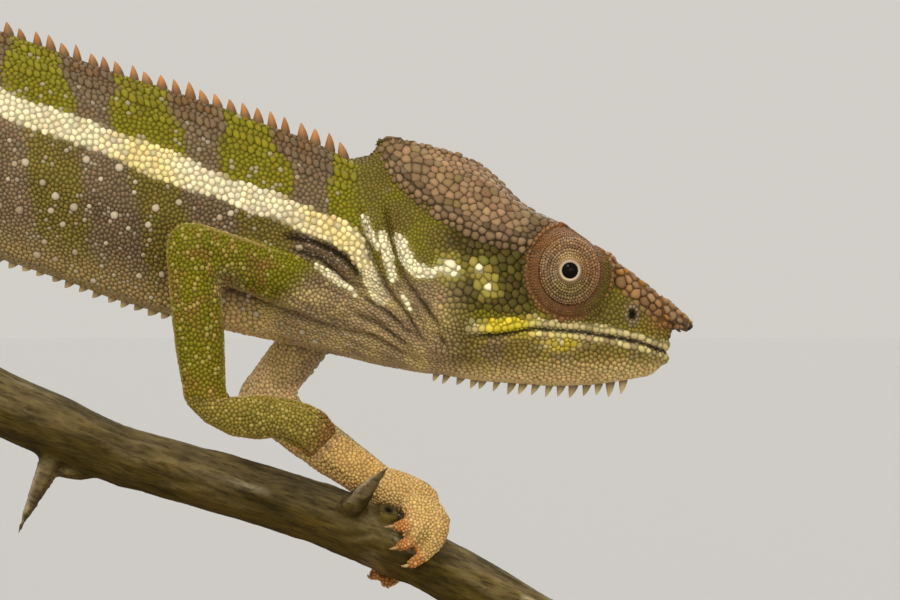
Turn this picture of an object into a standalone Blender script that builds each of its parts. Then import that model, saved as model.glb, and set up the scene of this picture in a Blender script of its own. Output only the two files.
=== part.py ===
"""A male panther chameleon stepping down a thorny branch, as a still life-size display model.

The animal faces +X, its right side is -Y and the ground is Z = 0. The origin is the middle of the
stand's underside. All design sizes below are in millimetres; MM turns them into Blender's metres.
"""

import math

import bmesh
import bpy
import numpy as np
from mathutils import Matrix, Vector

MM = 0.001
GAP = 0.3  # clear gap that parts neighbouring pieces

# ---- driving sizes -------------------------------------------------------------------------------

RING_POINTS = 18  # corners of a body section
BODY_STEP = 6.3  # spacing of body sections along X
LIMB_SIDES = 9

# Body sections from the tail root to the snout. Heights are absolute; a share is a height between
# the bottom (0) and the top (1). Half-widths: ridge, flank (or temple), cheek, lower edge.
#    x      top   bottom  ridge share  flank share  cheek share  lower share
BODY = [
    (-52.0, 148.2, 134.9, 2.6, 0.92, 5.1, 0.72, 6.2, 0.45, 3.8, 0.12),
    (-40.0, 147.2, 121.0, 2.6, 0.94, 6.4, 0.75, 8.2, 0.45, 4.2, 0.09),
    (-24.0, 143.4, 109.4, 2.4, 0.95, 8.2, 0.74, 10.8, 0.42, 4.8, 0.06),
    (-4.0, 137.8, 101.7, 2.2, 0.95, 9.2, 0.74, 12.1, 0.42, 5.2, 0.05),
    (16.0, 131.1, 97.3, 2.1, 0.95, 9.0, 0.74, 11.8, 0.42, 5.0, 0.05),
    (34.0, 124.9, 91.0, 2.0, 0.95, 8.2, 0.73, 10.8, 0.42, 4.8, 0.05),
    (50.0, 119.3, 86.7, 2.0, 0.95, 7.4, 0.73, 9.6, 0.43, 4.6, 0.06),
    (62.0, 114.9, 84.1, 2.2, 0.94, 7.2, 0.73, 9.2, 0.42, 4.8, 0.07),
    (66.6, 112.4, 83.1, 2.8, 0.93, 7.4, 0.73, 9.8, 0.40, 5.0, 0.07),
    (70.9, 116.1, 82.2, 1.7, 0.96, 6.6, 0.70, 10.6, 0.36, 5.6, 0.06),
    (77.0, 114.7, 81.1, 3.4, 0.91, 8.0, 0.66, 11.6, 0.33, 6.8, 0.06),
    (84.4, 111.8, 80.2, 4.9, 0.90, 8.7, 0.66, 11.5, 0.32, 7.0, 0.06),
    (91.2, 105.4, 79.6, 6.1, 0.93, 8.3, 0.70, 10.1, 0.36, 6.5, 0.07),
    (97.4, 102.7, 79.3, 6.2, 0.95, 7.3, 0.70, 8.7, 0.38, 5.8, 0.08),
    (103.0, 98.2, 79.7, 4.8, 0.95, 6.2, 0.72, 7.2, 0.42, 4.9, 0.09),
    (107.6, 93.9, 80.4, 3.5, 0.94, 4.9, 0.74, 5.5, 0.46, 3.8, 0.12),
    (110.4, 91.0, 81.5, 2.4, 0.92, 3.6, 0.74, 4.1, 0.46, 2.7, 0.16),
    (111.6, 89.2, 83.2, 1.2, 0.88, 2.0, 0.72, 2.5, 0.46, 1.5, 0.16),
]

# Lines in side view (x, z) along which the body is parted.
MOUTH = [(113.6, 83.9), (111.0, 84.6), (104.4, 86.5), (98.6, 87.5), (92.1, 87.9), (83.2, 86.9)]
JAW_ANGLE = [(79.6, 84.4), (75.8, 77.0)]
CASQUE_EDGE = [(60.0, 109.0), (70.0, 108.6), (80.0, 105.2), (90.6, 101.9), (93.4, 107.0)]
NECK_LINE = [(70.8, 74.0), (68.8, 95.0), (65.8, 120.0)]
HIP_LINE = [(-29.0, 104.0), (-24.0, 152.0)]

# The eyelid turret is a ball in a socket; the eyeball shows in a small round opening at its tip.
TURRET_AT = (97.1, 7.1, 96.2)
TURRET_RADII = (5.0, 5.3, 5.6)
EYEBALL_RADIUS = 1.75
EYEBALL_SINK = 1.2  # how far the eyeball's middle lies below the turret's tip

# Rostral ridges: scaly bars from the brows that run past the lips as two blunt knobs.
ROSTRAL_PATH = [
    (101.0, 5.1, 98.9), (105.0, 4.3, 95.4), (109.4, 3.2, 91.6), (112.4, 2.2, 89.4), (114.1, 1.7, 88.5),
]
ROSTRAL_RADII = (0.9, 1.25, 1.45, 1.35, 0.8)

# Crest cones on each piece: start x, end x, spacing, height and base radius at the start and the end.
CRESTS = {
    "trunk": [
        dict(on_top=True, start=64.2, end=-22.5, spacing=2.0, height=(2.5, 1.8), radius=(0.78, 0.7)),
        dict(on_top=False, start=40.0, end=-20.0, spacing=2.0, height=(1.1, 0.9), radius=(0.6, 0.5)),
    ],
    "hips": [dict(on_top=True, start=-26.6, end=-50.0, spacing=2.0, height=(1.8, 1.2), radius=(0.7, 0.6))],
    "lower_jaw": [
        dict(on_top=False, start=105.2, end=79.4, spacing=1.75, height=(1.9, 1.2), radius=(0.5, 0.42)),
    ],
}
CREST_SIDES = 3
CREST_TWIST = 0.28  # share of a side by which a cone is turned, so that no corner lies on the ridge
CREST_ROOT = 0.9  # depth that a cone reaches into the body

# Limb joints (right side is -Y) and limb radii at the start, middle and end of each length.
LIMBS = {
    "arm_right": dict(
        joints=[(63.2, -5.0, 92.6), (43.0, -15.0, 99.6), (45.0, -14.4, 78.0)],
        radii=[(4.6, 3.9, 3.8), (3.8, 3.9, 3.3)],
        names=("upper_arm_right", "forearm_right"),
    ),
    "arm_left": dict(
        joints=[(62.8, 4.4, 91.2), (52.0, 13.4, 77.2), (69.6, 4.2, 64.9)],
        radii=[(4.4, 3.8, 3.7), (3.7, 3.8, 3.2)],
        names=("upper_arm_left", "forearm_left"),
    ),
    "leg_right": dict(
        joints=[(-38.0, -3.5, 131.0), (-20.5, -18.5, 125.0), (-30.5, -8.6, 106.0)],
        radii=[(5.6, 4.9, 4.0), (4.0, 3.9, 3.1)],
        names=("thigh_right", "shank_right"),
    ),
    "leg_left": dict(
        joints=[(-40.0, 3.5, 131.0), (-33.0, 18.0, 119.5), (-53.5, 8.2, 114.6)],
        radii=[(5.6, 4.9, 4.0), (4.0, 3.9, 3.1)],
        names=("thigh_left", "shank_left"),
    ),
}

# Branch: middle line (x, z) in the plane Y = 0, rear end first.
BRANCH_LINE = [
    (-80.0, 111.6), (-60.0, 105.4), (-40.0, 98.8), (-20.0, 91.4), (0.0, 84.2),
    (14.7, 77.2), (29.2, 70.4), (46.6, 65.6), (61.6, 61.0), (77.1, 53.8), (92.0, 45.4), (104.0, 38.2),
]
BRANCH_RADII = (5.2, 4.5)  # rear and front end
BRANCH_SIDES = 10
BRANCH_STEP = 14.0
# Thorns: station x, angle round the branch (0 at -Y, 90 on top), the tip's place from the root, radius.
THORNS = [
    (24.0, -78.0, (-5.4, -1.6, -11.9), 1.9),
    (64.6, 30.0, (6.2, -2.6, 6.9), 2.1),
    (-4.0, 160.0, (3.0, 8.0, 4.0), 1.6),
]
KNOBS = [(27.5, -78.0, (2.9, 1.6, 1.3)), (69.2, 58.0, (1.8, 1.6, 1.7)), (-44.0, 75.0, (2.6, 1.8, 1.4))]

# Gripping feet: station x on the branch, side of the three-toed bundle (-1 is the right side), how far
# the toes bow forward on their way, and each toe's end as (slide along the branch, angle on its own side
# of the branch, where 90 is the top and 0 the middle of the side).
THREE_ENDS = [(-1.2, -12), (1.0, -16), (3.2, -14)]
TWO_ENDS = [(-0.6, -50), (1.5, -52)]
GRIPS = {
    "hand_left": dict(station=72.2, three=-1, ankle=(69.6, 4.2, 64.9), bow=1.5,
                      three_ends=[(-1.1, 27), (0.4, 4), (2.7, -10)], two_ends=[(-1.0, -63), (1.1, -66)]),
    "foot_right": dict(station=-27.0, three=-1, ankle=(-30.5, -8.6, 106.0), bow=0.8,
                       three_ends=THREE_ENDS, two_ends=TWO_ENDS),
    "foot_left": dict(station=-50.5, three=1, ankle=(-53.5, 8.2, 114.6), bow=0.8,
                      three_ends=THREE_ENDS, two_ends=TWO_ENDS),
}
TOE_RADIUS = 1.1
TOE_ROOT = 72  # angle on the branch's side where the toes leave the palm
KNUCKLE = 1.2  # how far the toes' roots stand off the branch
CLAW_LENGTH = 1.9
CLAW_START = 0.7  # from the toe's end to its claw
CLAW_RADIUS = 0.42
FOOT_VOXEL = 0.42
FOOT_TRIANGLES = {"hand_left": 460, "hand_right": 320, "foot_right": 300, "foot_left": 260}

# Tail: it runs back from the hips, then winds down into an open spiral.
TAIL_ROOT = [
    (-52.4, 0.0, 141.5), (-58.0, 0.0, 141.6), (-68.0, 0.0, 142.3), (-82.0, 0.6, 142.6), (-98.0, 1.8, 141.0),
]
SPIRAL_CENTRE = (-114.0, 3.0, 114.5)
SPIRAL_RADII = (25.0, 7.0)
SPIRAL_TURNS = 1.5
TAIL_HALF_HEIGHT = (6.65, 1.0)
TAIL_HALF_WIDTH = (6.2, 0.95)
TAIL_LENGTHS = 5
TAIL_RINGS = 48

# Stand: a flat rounded base and two upright rods let into the branch.
BASE_SIZE = (212.0, 92.0, 12.0)
BASE_CORNER = 20.0
ROD_RADIUS = 2.0
ROD_STATIONS = {"stand_rod_front": 88.0, "stand_rod_rear": -64.0}
ROD_SOCKET = 3.0  # depth of the rod's end in the branch


# ---- materials -----------------------------------------------------------------------------------

COLOURS = {
    "skin_green": ((0.17, 0.15, 0.03), 0.62, 0.0),
    "skin_head": ((0.22, 0.15, 0.07), 0.6, 0.0),
    "skin_limb": ((0.19, 0.16, 0.02), 0.6, 0.0),
    "eye": ((0.01, 0.008, 0.006), 0.08, 0.0),
    "claw": ((0.42, 0.24, 0.12), 0.4, 0.0),
    "bark": ((0.1, 0.07, 0.03), 0.85, 0.0),
    "stand_wood": ((0.55, 0.43, 0.29), 0.45, 0.0),
    "stand_steel": ((0.55, 0.55, 0.56), 0.3, 1.0),
}


def material(name):
    """The named material, made on first use."""
    found = bpy.data.materials.get(name)
    if found:
        return found
    colour, roughness, metallic = COLOURS[name]
    made = bpy.data.materials.new(name)
    made.use_nodes = True
    shader = made.node_tree.nodes["Principled BSDF"]
    shader.inputs["Base Color"].default_value = (*colour, 1.0)
    shader.inputs["Roughness"].default_value = roughness
    shader.inputs["Metallic"].default_value = metallic
    made.diffuse_color = (*colour, 1.0)
    return made


# ---- small tools ---------------------------------------------------------------------------------


def smooth_rows(rows, at):
    """Values of a table at new places of its first column, on a smooth curve with no overshoot."""
    rows = np.array(rows, float)
    x, y = rows[:, 0], rows[:, 1:]
    step = np.diff(x)[:, None]
    chord = np.diff(y, axis=0) / step
    slope = np.zeros_like(y)
    same_way = chord[:-1] * chord[1:] > 0
    mean = 2 * chord[:-1] * chord[1:] / np.where(same_way, chord[:-1] + chord[1:], 1.0)
    slope[1:-1] = np.where(same_way, mean, 0.0)
    slope[0], slope[-1] = chord[0], chord[-1]
    at = np.clip(np.atleast_1d(at), x[0], x[-1])
    i = np.clip(np.searchsorted(x, at) - 1, 0, len(x) - 2)
    t = ((at - x[i]) / (x[i + 1] - x[i]))[:, None]
    return (
        (1 + 2 * t) * (1 - t) ** 2 * y[i]
        + t * (1 - t) ** 2 * step[i] * slope[i]
        + t * t * (3 - 2 * t) * y[i + 1]
        + t * t * (t - 1) * step[i] * slope[i + 1]
    )


def through(points, steps):
    """A fine line on a smooth curve through the points, whose first and last only steer it."""
    t = np.linspace(0, 1, steps, endpoint=False)[:, None]
    fine = []
    for a, b, c, d in zip(points, points[1:], points[2:], points[3:]):
        fine.extend(b + 0.5 * t * (c - a + t * (2 * a - 5 * b + 4 * c - d + t * (3 * b - a - 3 * c + d))))
    return np.array([*fine, points[-2]])


def evenly(line, count, closed=False):
    """That many points, evenly spread along a fine line."""
    run = np.concatenate([[0], np.cumsum(np.linalg.norm(np.diff(line, axis=0), axis=1))])
    want = np.linspace(0, run[-1], count, endpoint=not closed)
    return np.stack([np.interp(want, run, column) for column in line.T], axis=1)


def smooth_path(points, count):
    """That many points, evenly spread on a smooth curve through the given points."""
    points = np.array(points, float)
    ends = np.vstack([2 * points[0] - points[1], points, 2 * points[-1] - points[-2]])
    return evenly(through(ends, 24), count)


def add_object(name, mesh, finish):
    mesh.materials.clear()
    mesh.materials.append(material(finish))
    made = bpy.data.objects.new(name, mesh)
    bpy.context.scene.collection.objects.link(made)
    return made


def mesh_from(bm, name):
    """A mesh from a closed bmesh, its faces turned outwards and its size in metres."""
    bmesh.ops.remove_doubles(bm, verts=bm.verts, dist=1e-4)
    bmesh.ops.recalc_face_normals(bm, faces=bm.faces)
    bmesh.ops.transform(bm, matrix=Matrix.Scale(MM, 4), verts=bm.verts)
    mesh = bpy.data.meshes.new(name)
    bm.to_mesh(mesh)
    bm.free()
    return mesh


def loft(rings, bm=None):
    """A closed skin over rings of equal length, with flat ends. A ring of one point is a tip."""
    bm = bm or bmesh.new()
    made = [[bm.verts.new(p) for p in ring] for ring in rings]
    for a, b in zip(made, made[1:]):
        if len(a) == 1 or len(b) == 1:
            tip, ring = (a[0], b) if len(a) == 1 else (b[0], a)
            for p, q in zip(ring, ring[1:] + ring[:1]):
                bm.faces.new((tip, p, q))
            continue
        for k in range(len(a)):
            j = (k + 1) % len(a)
            bm.faces.new((a[k], a[j], b[j], b[k]))
    for ring in (made[0], made[-1]):
        if len(ring) > 2:
            bm.faces.new(ring)
    return bm


def frames(path, up=(0, 1, 0)):
    """Two unit vectors across the path at each of its points: sideways, and the third one."""
    tangent = np.gradient(np.array(path, float), axis=0)
    tangent /= np.linalg.norm(tangent, axis=1)[:, None]
    side = np.array(up, float) - tangent * (tangent @ np.array(up, float))[:, None]
    side /= np.linalg.norm(side, axis=1)[:, None]
    return side, np.cross(tangent, side)


def tube_rings(path, across, tall, sides, up=(0, 1, 0)):
    """Elliptical rings along a path; across and tall are the half-sizes at each point."""
    side, third = frames(path, up)
    turn = np.linspace(0, 2 * math.pi, sides, endpoint=False)
    return [
        p + np.outer(np.cos(turn), s) * a + np.outer(np.sin(turn), h) * b
        for p, s, h, a, b in zip(path, side, third, across, tall)
    ]


def round_tube(path, radii, sides, up=(0, 1, 0), bm=None):
    """A closed tube with rounded ends, its radius following radii along the path."""
    path = np.array(path, float)
    radii = np.interp(np.linspace(0, 1, len(path)), np.linspace(0, 1, len(radii)), radii)
    first = path[0] - path[1]
    last = path[-1] - path[-2]
    first /= np.linalg.norm(first)
    last /= np.linalg.norm(last)
    caps = (0.62, 0.92)
    head = [path[0] + first * radii[0] * c for c in reversed(caps)]
    tail = [path[-1] + last * radii[-1] * c for c in caps]
    shrink = [math.sqrt(1 - c * c) for c in caps]
    whole = np.array([*head, *path, *tail])
    sizes = [*(radii[0] * s for s in reversed(shrink)), *radii, *(radii[-1] * s for s in shrink)]
    return loft(tube_rings(whole, sizes, sizes, sides, up), bm)


def ball(centre, radii, segments, rings):
    bm = bmesh.new()
    bmesh.ops.create_uvsphere(bm, u_segments=segments, v_segments=rings, radius=1.0)
    turn = Matrix.Rotation(math.pi / 2, 4, "X")  # poles along Y
    bmesh.ops.transform(bm, matrix=turn, verts=bm.verts)
    place = Matrix.Translation(centre) @ Matrix.Diagonal((*radii, 1.0))
    bmesh.ops.transform(bm, matrix=place, verts=bm.verts)
    return bm


def upright_rod(x, radius, low, high):
    """A round bar in the plane Y = 0, from one height to another."""
    bm = bmesh.new()
    bmesh.ops.create_cone(bm, cap_ends=True, segments=14, radius1=radius, radius2=radius, depth=high - low)
    bmesh.ops.translate(bm, vec=(x, 0, (low + high) / 2), verts=bm.verts)
    return bm


def cut_flat(bm, point, outward):
    """Removes what lies beyond a plane and closes the hole."""
    geometry = [*bm.verts, *bm.edges, *bm.faces]
    done = bmesh.ops.bisect_plane(bm, geom=geometry, plane_co=point, plane_no=outward, clear_outer=True)
    rim = [e for e in done["geom_cut"] if isinstance(e, bmesh.types.BMEdge)]
    bmesh.ops.edgeloop_fill(bm, edges=rim)
    return bm


def apply_modifiers(obj):
    """Replaces the object's mesh by its evaluated one."""
    graph = bpy.context.evaluated_depsgraph_get()
    obj.data = bpy.data.meshes.new_from_object(obj.evaluated_get(graph))
    obj.modifiers.clear()
    return obj


def boolean(obj, other, operation):
    """Joins or cuts with another object, which is used up."""
    step = obj.modifiers.new(operation, "BOOLEAN")
    step.operation = operation
    step.object = other
    step.solver = "EXACT"
    bpy.context.view_layer.update()
    apply_modifiers(obj)
    bpy.data.objects.remove(other)
    return obj


def ribbon(line, reach=30.0):
    """A wall as thick as the gap, along a line in side view, reaching across the body."""
    line = np.array(line, float)
    along = np.gradient(line, axis=0)
    along /= np.linalg.norm(along, axis=1)[:, None]
    across = np.stack([-along[:, 1], along[:, 0]], axis=1) * GAP / 2
    rings = []
    for p, q in zip(line + across, line - across):
        rings.append([(p[0], -reach, p[1]), (p[0], reach, p[1]), (q[0], reach, q[1]), (q[0], -reach, q[1])])
    return loft(rings)


def part_along(obj, line, seeds):
    """Parts an object by a thin wall. Each body left takes the name and the finish of the nearest
    seed, given as name: (point, finish)."""
    boolean(obj, add_object("wall", mesh_from(ribbon(line), "wall"), "skin_green"), "DIFFERENCE")
    bm = bmesh.new()
    bm.from_mesh(obj.data)
    seen = set()
    made = {}
    for first in bm.verts:
        if first in seen:
            continue
        seen.add(first)
        island = [first]
        for v in island:
            for e in v.link_edges:
                w = e.other_vert(v)
                if w not in seen:
                    seen.add(w)
                    island.append(w)
        middle = sum((v.co for v in island), Vector()) / len(island) / MM
        name = min(seeds, key=lambda n: (Vector(seeds[n][0]) - middle).length)
        place = {v: k for k, v in enumerate(island)}
        mesh = bpy.data.meshes.new(name)
        faces = [[place[v] for v in f.verts] for f in bm.faces if f.verts[0] in place]
        mesh.from_pydata([v.co for v in place], [], faces)
        made[name] = add_object(name, mesh, seeds[name][1])
    bm.free()
    bpy.data.objects.remove(obj)
    return made


# ---- head, neck and trunk ------------------------------------------------------------------------


def body_ring(x, swell=0.0):
    """One upright section of the body at x, swollen outwards by swell."""
    top, bottom, *rest = smooth_rows(BODY, x)[0]
    widths, shares = rest[0::2], rest[1::2]
    key = [(0.0, 1.0), *zip(widths, shares), (0.0, 0.0)]
    half = [(y, bottom + share * (top - bottom)) for y, share in key]
    closed = half + [(-y, z) for y, z in reversed(half[1:-1])]
    loop = np.array([closed[k % len(closed)] for k in range(-1, len(closed) + 2)])
    ring = evenly(through(loop, 8), RING_POINTS, closed=True)
    if swell:
        edge = np.roll(ring, -1, axis=0) - np.roll(ring, 1, axis=0)
        outward = np.stack([-edge[:, 1], edge[:, 0]], axis=1)
        outward *= np.sign((outward * (ring - ring.mean(axis=0))).sum())
        ring += outward / np.linalg.norm(outward, axis=1)[:, None] * swell
    return [(x, y, z) for y, z in ring]


def body_mesh(swell=0.0):
    first, last = BODY[0][0], BODY[-1][0]
    coarse = np.arange(first, 62.0, BODY_STEP)
    head = np.arange(62.0, last, BODY_STEP * 0.5)
    casque_back = (68.4, 69.6, 70.9)
    stations = sorted({*np.round(coarse, 3), *np.round(head, 3), *casque_back, last})
    return loft([body_ring(x, swell) for x in stations])


def crest(on_top, start, end, spacing, height, radius):
    """A row of leaning cones along the body's upper or lower middle line."""
    bm = bmesh.new()
    count = int(abs(end - start) / spacing)
    for k in range(count + 1):
        share = k / count
        x = start + (end - start) * share
        rows = smooth_rows(BODY, [x - 0.5, x + 0.5])
        line = rows[:, 0] if on_top else rows[:, 1]
        up = 1.0 if on_top else -1.0
        normal = Vector((-(line[1] - line[0]) * up, 0.0, up)).normalized()
        lean = (normal + Vector((-0.28, 0.0, 0.0))).normalized()
        foot = Vector((x, 0.0, line.mean())) - normal * CREST_ROOT
        tall = height[0] + (height[1] - height[0]) * share + CREST_ROOT
        wide = radius[0] + (radius[1] - radius[0]) * share
        side = Vector((0, 1, 0))
        along = side.cross(normal)
        ring = []
        for n in range(CREST_SIDES):
            turn = 2 * math.pi * (n + CREST_TWIST) / CREST_SIDES
            ring.append(foot + (along * math.cos(turn) + side * math.sin(turn)) * wide * 1.25)
        loft([ring, [foot + lean * tall]], bm)
    return bm


def make_body():
    """Head, casque, jaw, neck, trunk and hips as one form, parted by thin cuts."""
    body = add_object("body", mesh_from(body_mesh(), "body"), "skin_green")
    for side in (-1, 1):
        path = smooth_path([(x, y * side, z) for x, y, z in ROSTRAL_PATH], 8)
        ridge = add_object("ridge", mesh_from(round_tube(path, ROSTRAL_RADII, 8), "ridge"), "skin_head")
        boolean(body, ridge, "UNION")
    for side in (-1, 1):
        centre = (TURRET_AT[0], TURRET_AT[1] * side, TURRET_AT[2])
        socket = ball(centre, [r + GAP for r in TURRET_RADII], 12, 9)
        boolean(body, add_object("socket", mesh_from(socket, "socket"), "skin_head"), "DIFFERENCE")
    back, skull = ((0, 0, 118), "skin_green"), ((92, 0, 94), "skin_head")
    halves = part_along(body, NECK_LINE, {"back": back, "skull": skull})
    trunk, hips = ((20, 0, 112), "skin_green"), ((-42, 0, 138), "skin_green")
    part_along(halves["back"], HIP_LINE, {"trunk": trunk, "hips": hips})
    lower_jaw = ((96, 0, 83), "skin_head")
    jaws = part_along(halves["skull"], MOUTH + JAW_ANGLE, {"upper": skull, "lower_jaw": lower_jaw})
    part_along(jaws["upper"], CASQUE_EDGE, {"head": skull, "casque": ((81, 0, 109), "skin_head")})
    for name, rows in CRESTS.items():
        for row in rows:
            cones = add_object("cones", mesh_from(crest(**row), "cones"), "skin_head")
            boolean(bpy.data.objects[name], cones, "UNION")


def make_eyes():
    for name, side in (("right", -1), ("left", 1)):
        centre = Vector((TURRET_AT[0], TURRET_AT[1] * side, TURRET_AT[2]))
        lid = mesh_from(ball(centre, TURRET_RADII, 12, 9), "turret")
        turret = add_object("eye_turret_" + name, lid, "skin_head")
        tip = centre + Vector((0, (TURRET_RADII[1] - EYEBALL_SINK) * side, 0))
        hole = ball(tip, [EYEBALL_RADIUS + GAP] * 3, 10, 6)
        boolean(turret, add_object("hole", mesh_from(hole, "hole"), "eye"), "DIFFERENCE")
        eyeball = ball(tip, [EYEBALL_RADIUS] * 3, 10, 6)
        add_object("eyeball_" + name, mesh_from(eyeball, "eyeball"), "eye")


# ---- limbs ---------------------------------------------------------------------------------------


def make_limb(joints, radii, names):
    """Two lengths of a limb. They meet on the plane that halves the bend, and the upper one is
    trimmed to the body."""
    joints = [Vector(j) for j in joints]
    ends = [(joints[0], joints[1]), (joints[1], joints[2])]
    bend = ((joints[1] - joints[0]).normalized() + (joints[2] - joints[1]).normalized()).normalized()
    wrist = (joints[2] - joints[1]).normalized()
    for k, ((a, b), sizes, name) in enumerate(zip(ends, radii, names)):
        path = [a.lerp(b, t) for t in np.linspace(0, 1, 6)]
        bm = round_tube(path, sizes, LIMB_SIDES)
        if k == 0:
            cut_flat(bm, joints[1] - bend * GAP / 2, bend)
        else:
            cut_flat(bm, joints[1] + bend * GAP / 2, -bend)
            cut_flat(bm, b - wrist * GAP / 2, wrist)
        made = add_object(name, mesh_from(bm, name), "skin_limb")
        if k == 0:
            trim = add_object("trim", mesh_from(body_mesh(GAP), "trim"), "skin_limb")
            boolean(made, trim, "DIFFERENCE")


# ---- branch --------------------------------------------------------------------------------------


def branch_at(x):
    """Middle point, direction and radius of the branch at x."""
    z = smooth_rows(BRANCH_LINE, [x - 0.5, x, x + 0.5])[:, 0]
    share = (x - BRANCH_LINE[0][0]) / (BRANCH_LINE[-1][0] - BRANCH_LINE[0][0])
    radius = BRANCH_RADII[0] + (BRANCH_RADII[1] - BRANCH_RADII[0]) * share
    return Vector((x, 0, z[1])), Vector((1, 0, z[2] - z[0])).normalized(), radius


def branch_mesh(swell=0.0):
    first, last = BRANCH_LINE[0][0], BRANCH_LINE[-1][0]
    stations = np.linspace(first, last, int((last - first) / BRANCH_STEP) + 1)
    path = np.array([branch_at(x)[0] for x in stations])
    sizes = [branch_at(x)[2] + swell for x in stations]
    return loft(tube_rings(path, sizes, sizes, BRANCH_SIDES))


def round_the_branch(x, angle, radius):
    """A point beside the branch: angle is measured from the right side (-Y) over the top."""
    middle, along, _ = branch_at(x)
    upward = along.cross(Vector((0, -1, 0)))
    upward *= 1 if upward.z > 0 else -1
    turn = math.radians(angle)
    return middle + Vector((0, -1, 0)) * math.cos(turn) * radius + upward * math.sin(turn) * radius


def rod_top(x):
    middle, _, thick = branch_at(x)
    return middle.z - thick + ROD_SOCKET - GAP


def knob_middle(x, angle):
    return round_the_branch(x, angle, branch_at(x)[2] - 0.4)


def make_branch():
    perch = add_object("perch", mesh_from(branch_mesh(), "perch"), "bark")
    for x, angle, reach, radius in THORNS:
        thick = branch_at(x)[2]
        root = round_the_branch(x, angle, thick - 1.0)
        out = (round_the_branch(x, angle, thick) - root).normalized()
        tip = root + Vector(reach)
        bow = root.lerp(tip, 0.4) + out * radius * 0.9
        steps = np.linspace(0, 1, 6)
        path = [root * (1 - t) ** 2 + bow * 2 * t * (1 - t) + tip * t * t for t in steps]
        sizes = [max(radius * (1.05 - t**1.5), 0.22) for t in steps]
        thorn = loft(tube_rings(np.array(path), sizes, sizes, 5, up=(0.3, 1, 0.2)))
        boolean(perch, add_object("thorn", mesh_from(thorn, "thorn"), "bark"), "UNION")
    for x, angle, radii in KNOBS:
        knob = ball(knob_middle(x, angle), radii, 8, 5)
        boolean(perch, add_object("knob", mesh_from(knob, "knob"), "bark"), "UNION")
    for x in ROD_STATIONS.values():
        top = rod_top(x)
        drill = upright_rod(x, ROD_RADIUS + GAP, top - 20.0, top + GAP)
        boolean(perch, add_object("drill", mesh_from(drill, "drill"), "bark"), "DIFFERENCE")


# ---- feet ----------------------------------------------------------------------------------------


def make_claw(name, path, across):
    """A claw along a path, tapering to its point."""
    sizes = [CLAW_RADIUS * (1 - 0.72 * t) for t in np.linspace(0, 1, len(path))]
    rings = tube_rings(np.array(path), sizes, sizes, 4, up=tuple(across))
    add_object(name, mesh_from(loft(rings), name), "claw")


def finish_foot(name, shapes, ankle, inward):
    """Melts the palm and toes into one form, trims it at the ankle and clears the branch."""
    bm = bmesh.new()
    for shape in shapes:
        mesh = bpy.data.meshes.new("shape")
        shape.to_mesh(mesh)
        shape.free()
        bm.from_mesh(mesh)
        bpy.data.meshes.remove(mesh)
    foot = add_object(name, mesh_from(bm, name), "skin_limb")
    melt = foot.modifiers.new("melt", "REMESH")
    melt.mode = "VOXEL"
    melt.voxel_size = FOOT_VOXEL * MM
    soften = foot.modifiers.new("soften", "SMOOTH")
    soften.factor = 0.5
    soften.iterations = 2
    bpy.context.view_layer.update()
    apply_modifiers(foot)
    thin = foot.modifiers.new("thin", "DECIMATE")
    thin.ratio = FOOT_TRIANGLES[name] / (2 * len(foot.data.polygons))
    bpy.context.view_layer.update()
    apply_modifiers(foot)
    bm = bmesh.new()
    bm.from_mesh(foot.data)
    cut_flat(bm, (Vector(ankle) + inward * GAP / 2) * MM, -inward)
    bm.to_mesh(foot.data)
    bm.free()
    trim = add_object("trim", mesh_from(branch_mesh(GAP), "trim"), "bark")
    return boolean(foot, trim, "DIFFERENCE")


def grip_toe(station, slide, end, side, radius, bow):
    """A toe's path from the palm round the branch to its end, on the given side."""
    path = []
    for t in np.linspace(0, 1, 7):
        x = station + slide + bow * math.sin(math.pi * t)
        path.append(round_the_branch(x, on_side(TOE_ROOT + (end - TOE_ROOT) * t, side),
                                     radius + KNUCKLE * (1 - t) ** 1.5))
    return path


def on_side(angle, side):
    """The angle round the branch, measured from the right side, of an angle on one side."""
    return angle if side < 0 else 180 - angle


def grip_claw(x, end, side, radius, bow):
    """A claw's path: on from the toe's end the way the toe was going, bending down to the bark."""
    thick = branch_at(x)[2]
    lead = Vector((-bow * math.pi, math.radians(TOE_ROOT - end) * radius * 0.6)).normalized()
    path = []
    for t in np.linspace(0, 1, 4):
        gone = CLAW_START + CLAW_LENGTH * t
        angle = on_side(end - math.degrees(lead.y * gone / radius), side)
        out = radius + 0.1 + (thick + GAP + CLAW_RADIUS - radius) * t * t
        path.append(round_the_branch(x + lead.x * gone, angle, out))
    return path


def make_grip(name, station, three, ankle, bow, three_ends, two_ends, shin):
    """A foot that clasps the branch: three toes on one side, two on the other."""
    _, along, thick = branch_at(station)
    clear = thick + GAP + TOE_RADIUS
    palm_at = round_the_branch(station, 90, thick + GAP + 2.6)
    shin = Vector(shin).normalized()
    ankle = Vector(ankle)
    sole = [ankle - shin * 2.5, ankle, ankle.lerp(palm_at, 0.6), palm_at]
    shapes = [round_tube(sole, (3.2, 3.2, 3.2, 2.9), 12)]
    claws = []
    for ends, side in ((three_ends, three), (two_ends, -three)):
        for slide, end in ends:
            path = grip_toe(station, slide, end, side, clear, bow)
            path[0] = palm_at.lerp(path[0], 0.35)
            shapes.append(round_tube(path, [TOE_RADIUS * r for r in (1.9, 1.6, 1.2, 0.95, 0.85)], 10))
            claws.append(grip_claw(station + slide, end, side, clear, bow))
    foot = finish_foot(name, shapes, ankle, shin)
    for x, angle, radii in KNOBS:
        if abs(x - station) < 8:
            knob = ball(knob_middle(x, angle), [r + GAP for r in radii], 8, 5)
            boolean(foot, add_object("trim", mesh_from(knob, "trim"), "bark"), "DIFFERENCE")
    for k, path in enumerate(claws):
        make_claw(f"claw_{name}_{k + 1}", path, along)
    return foot


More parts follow.
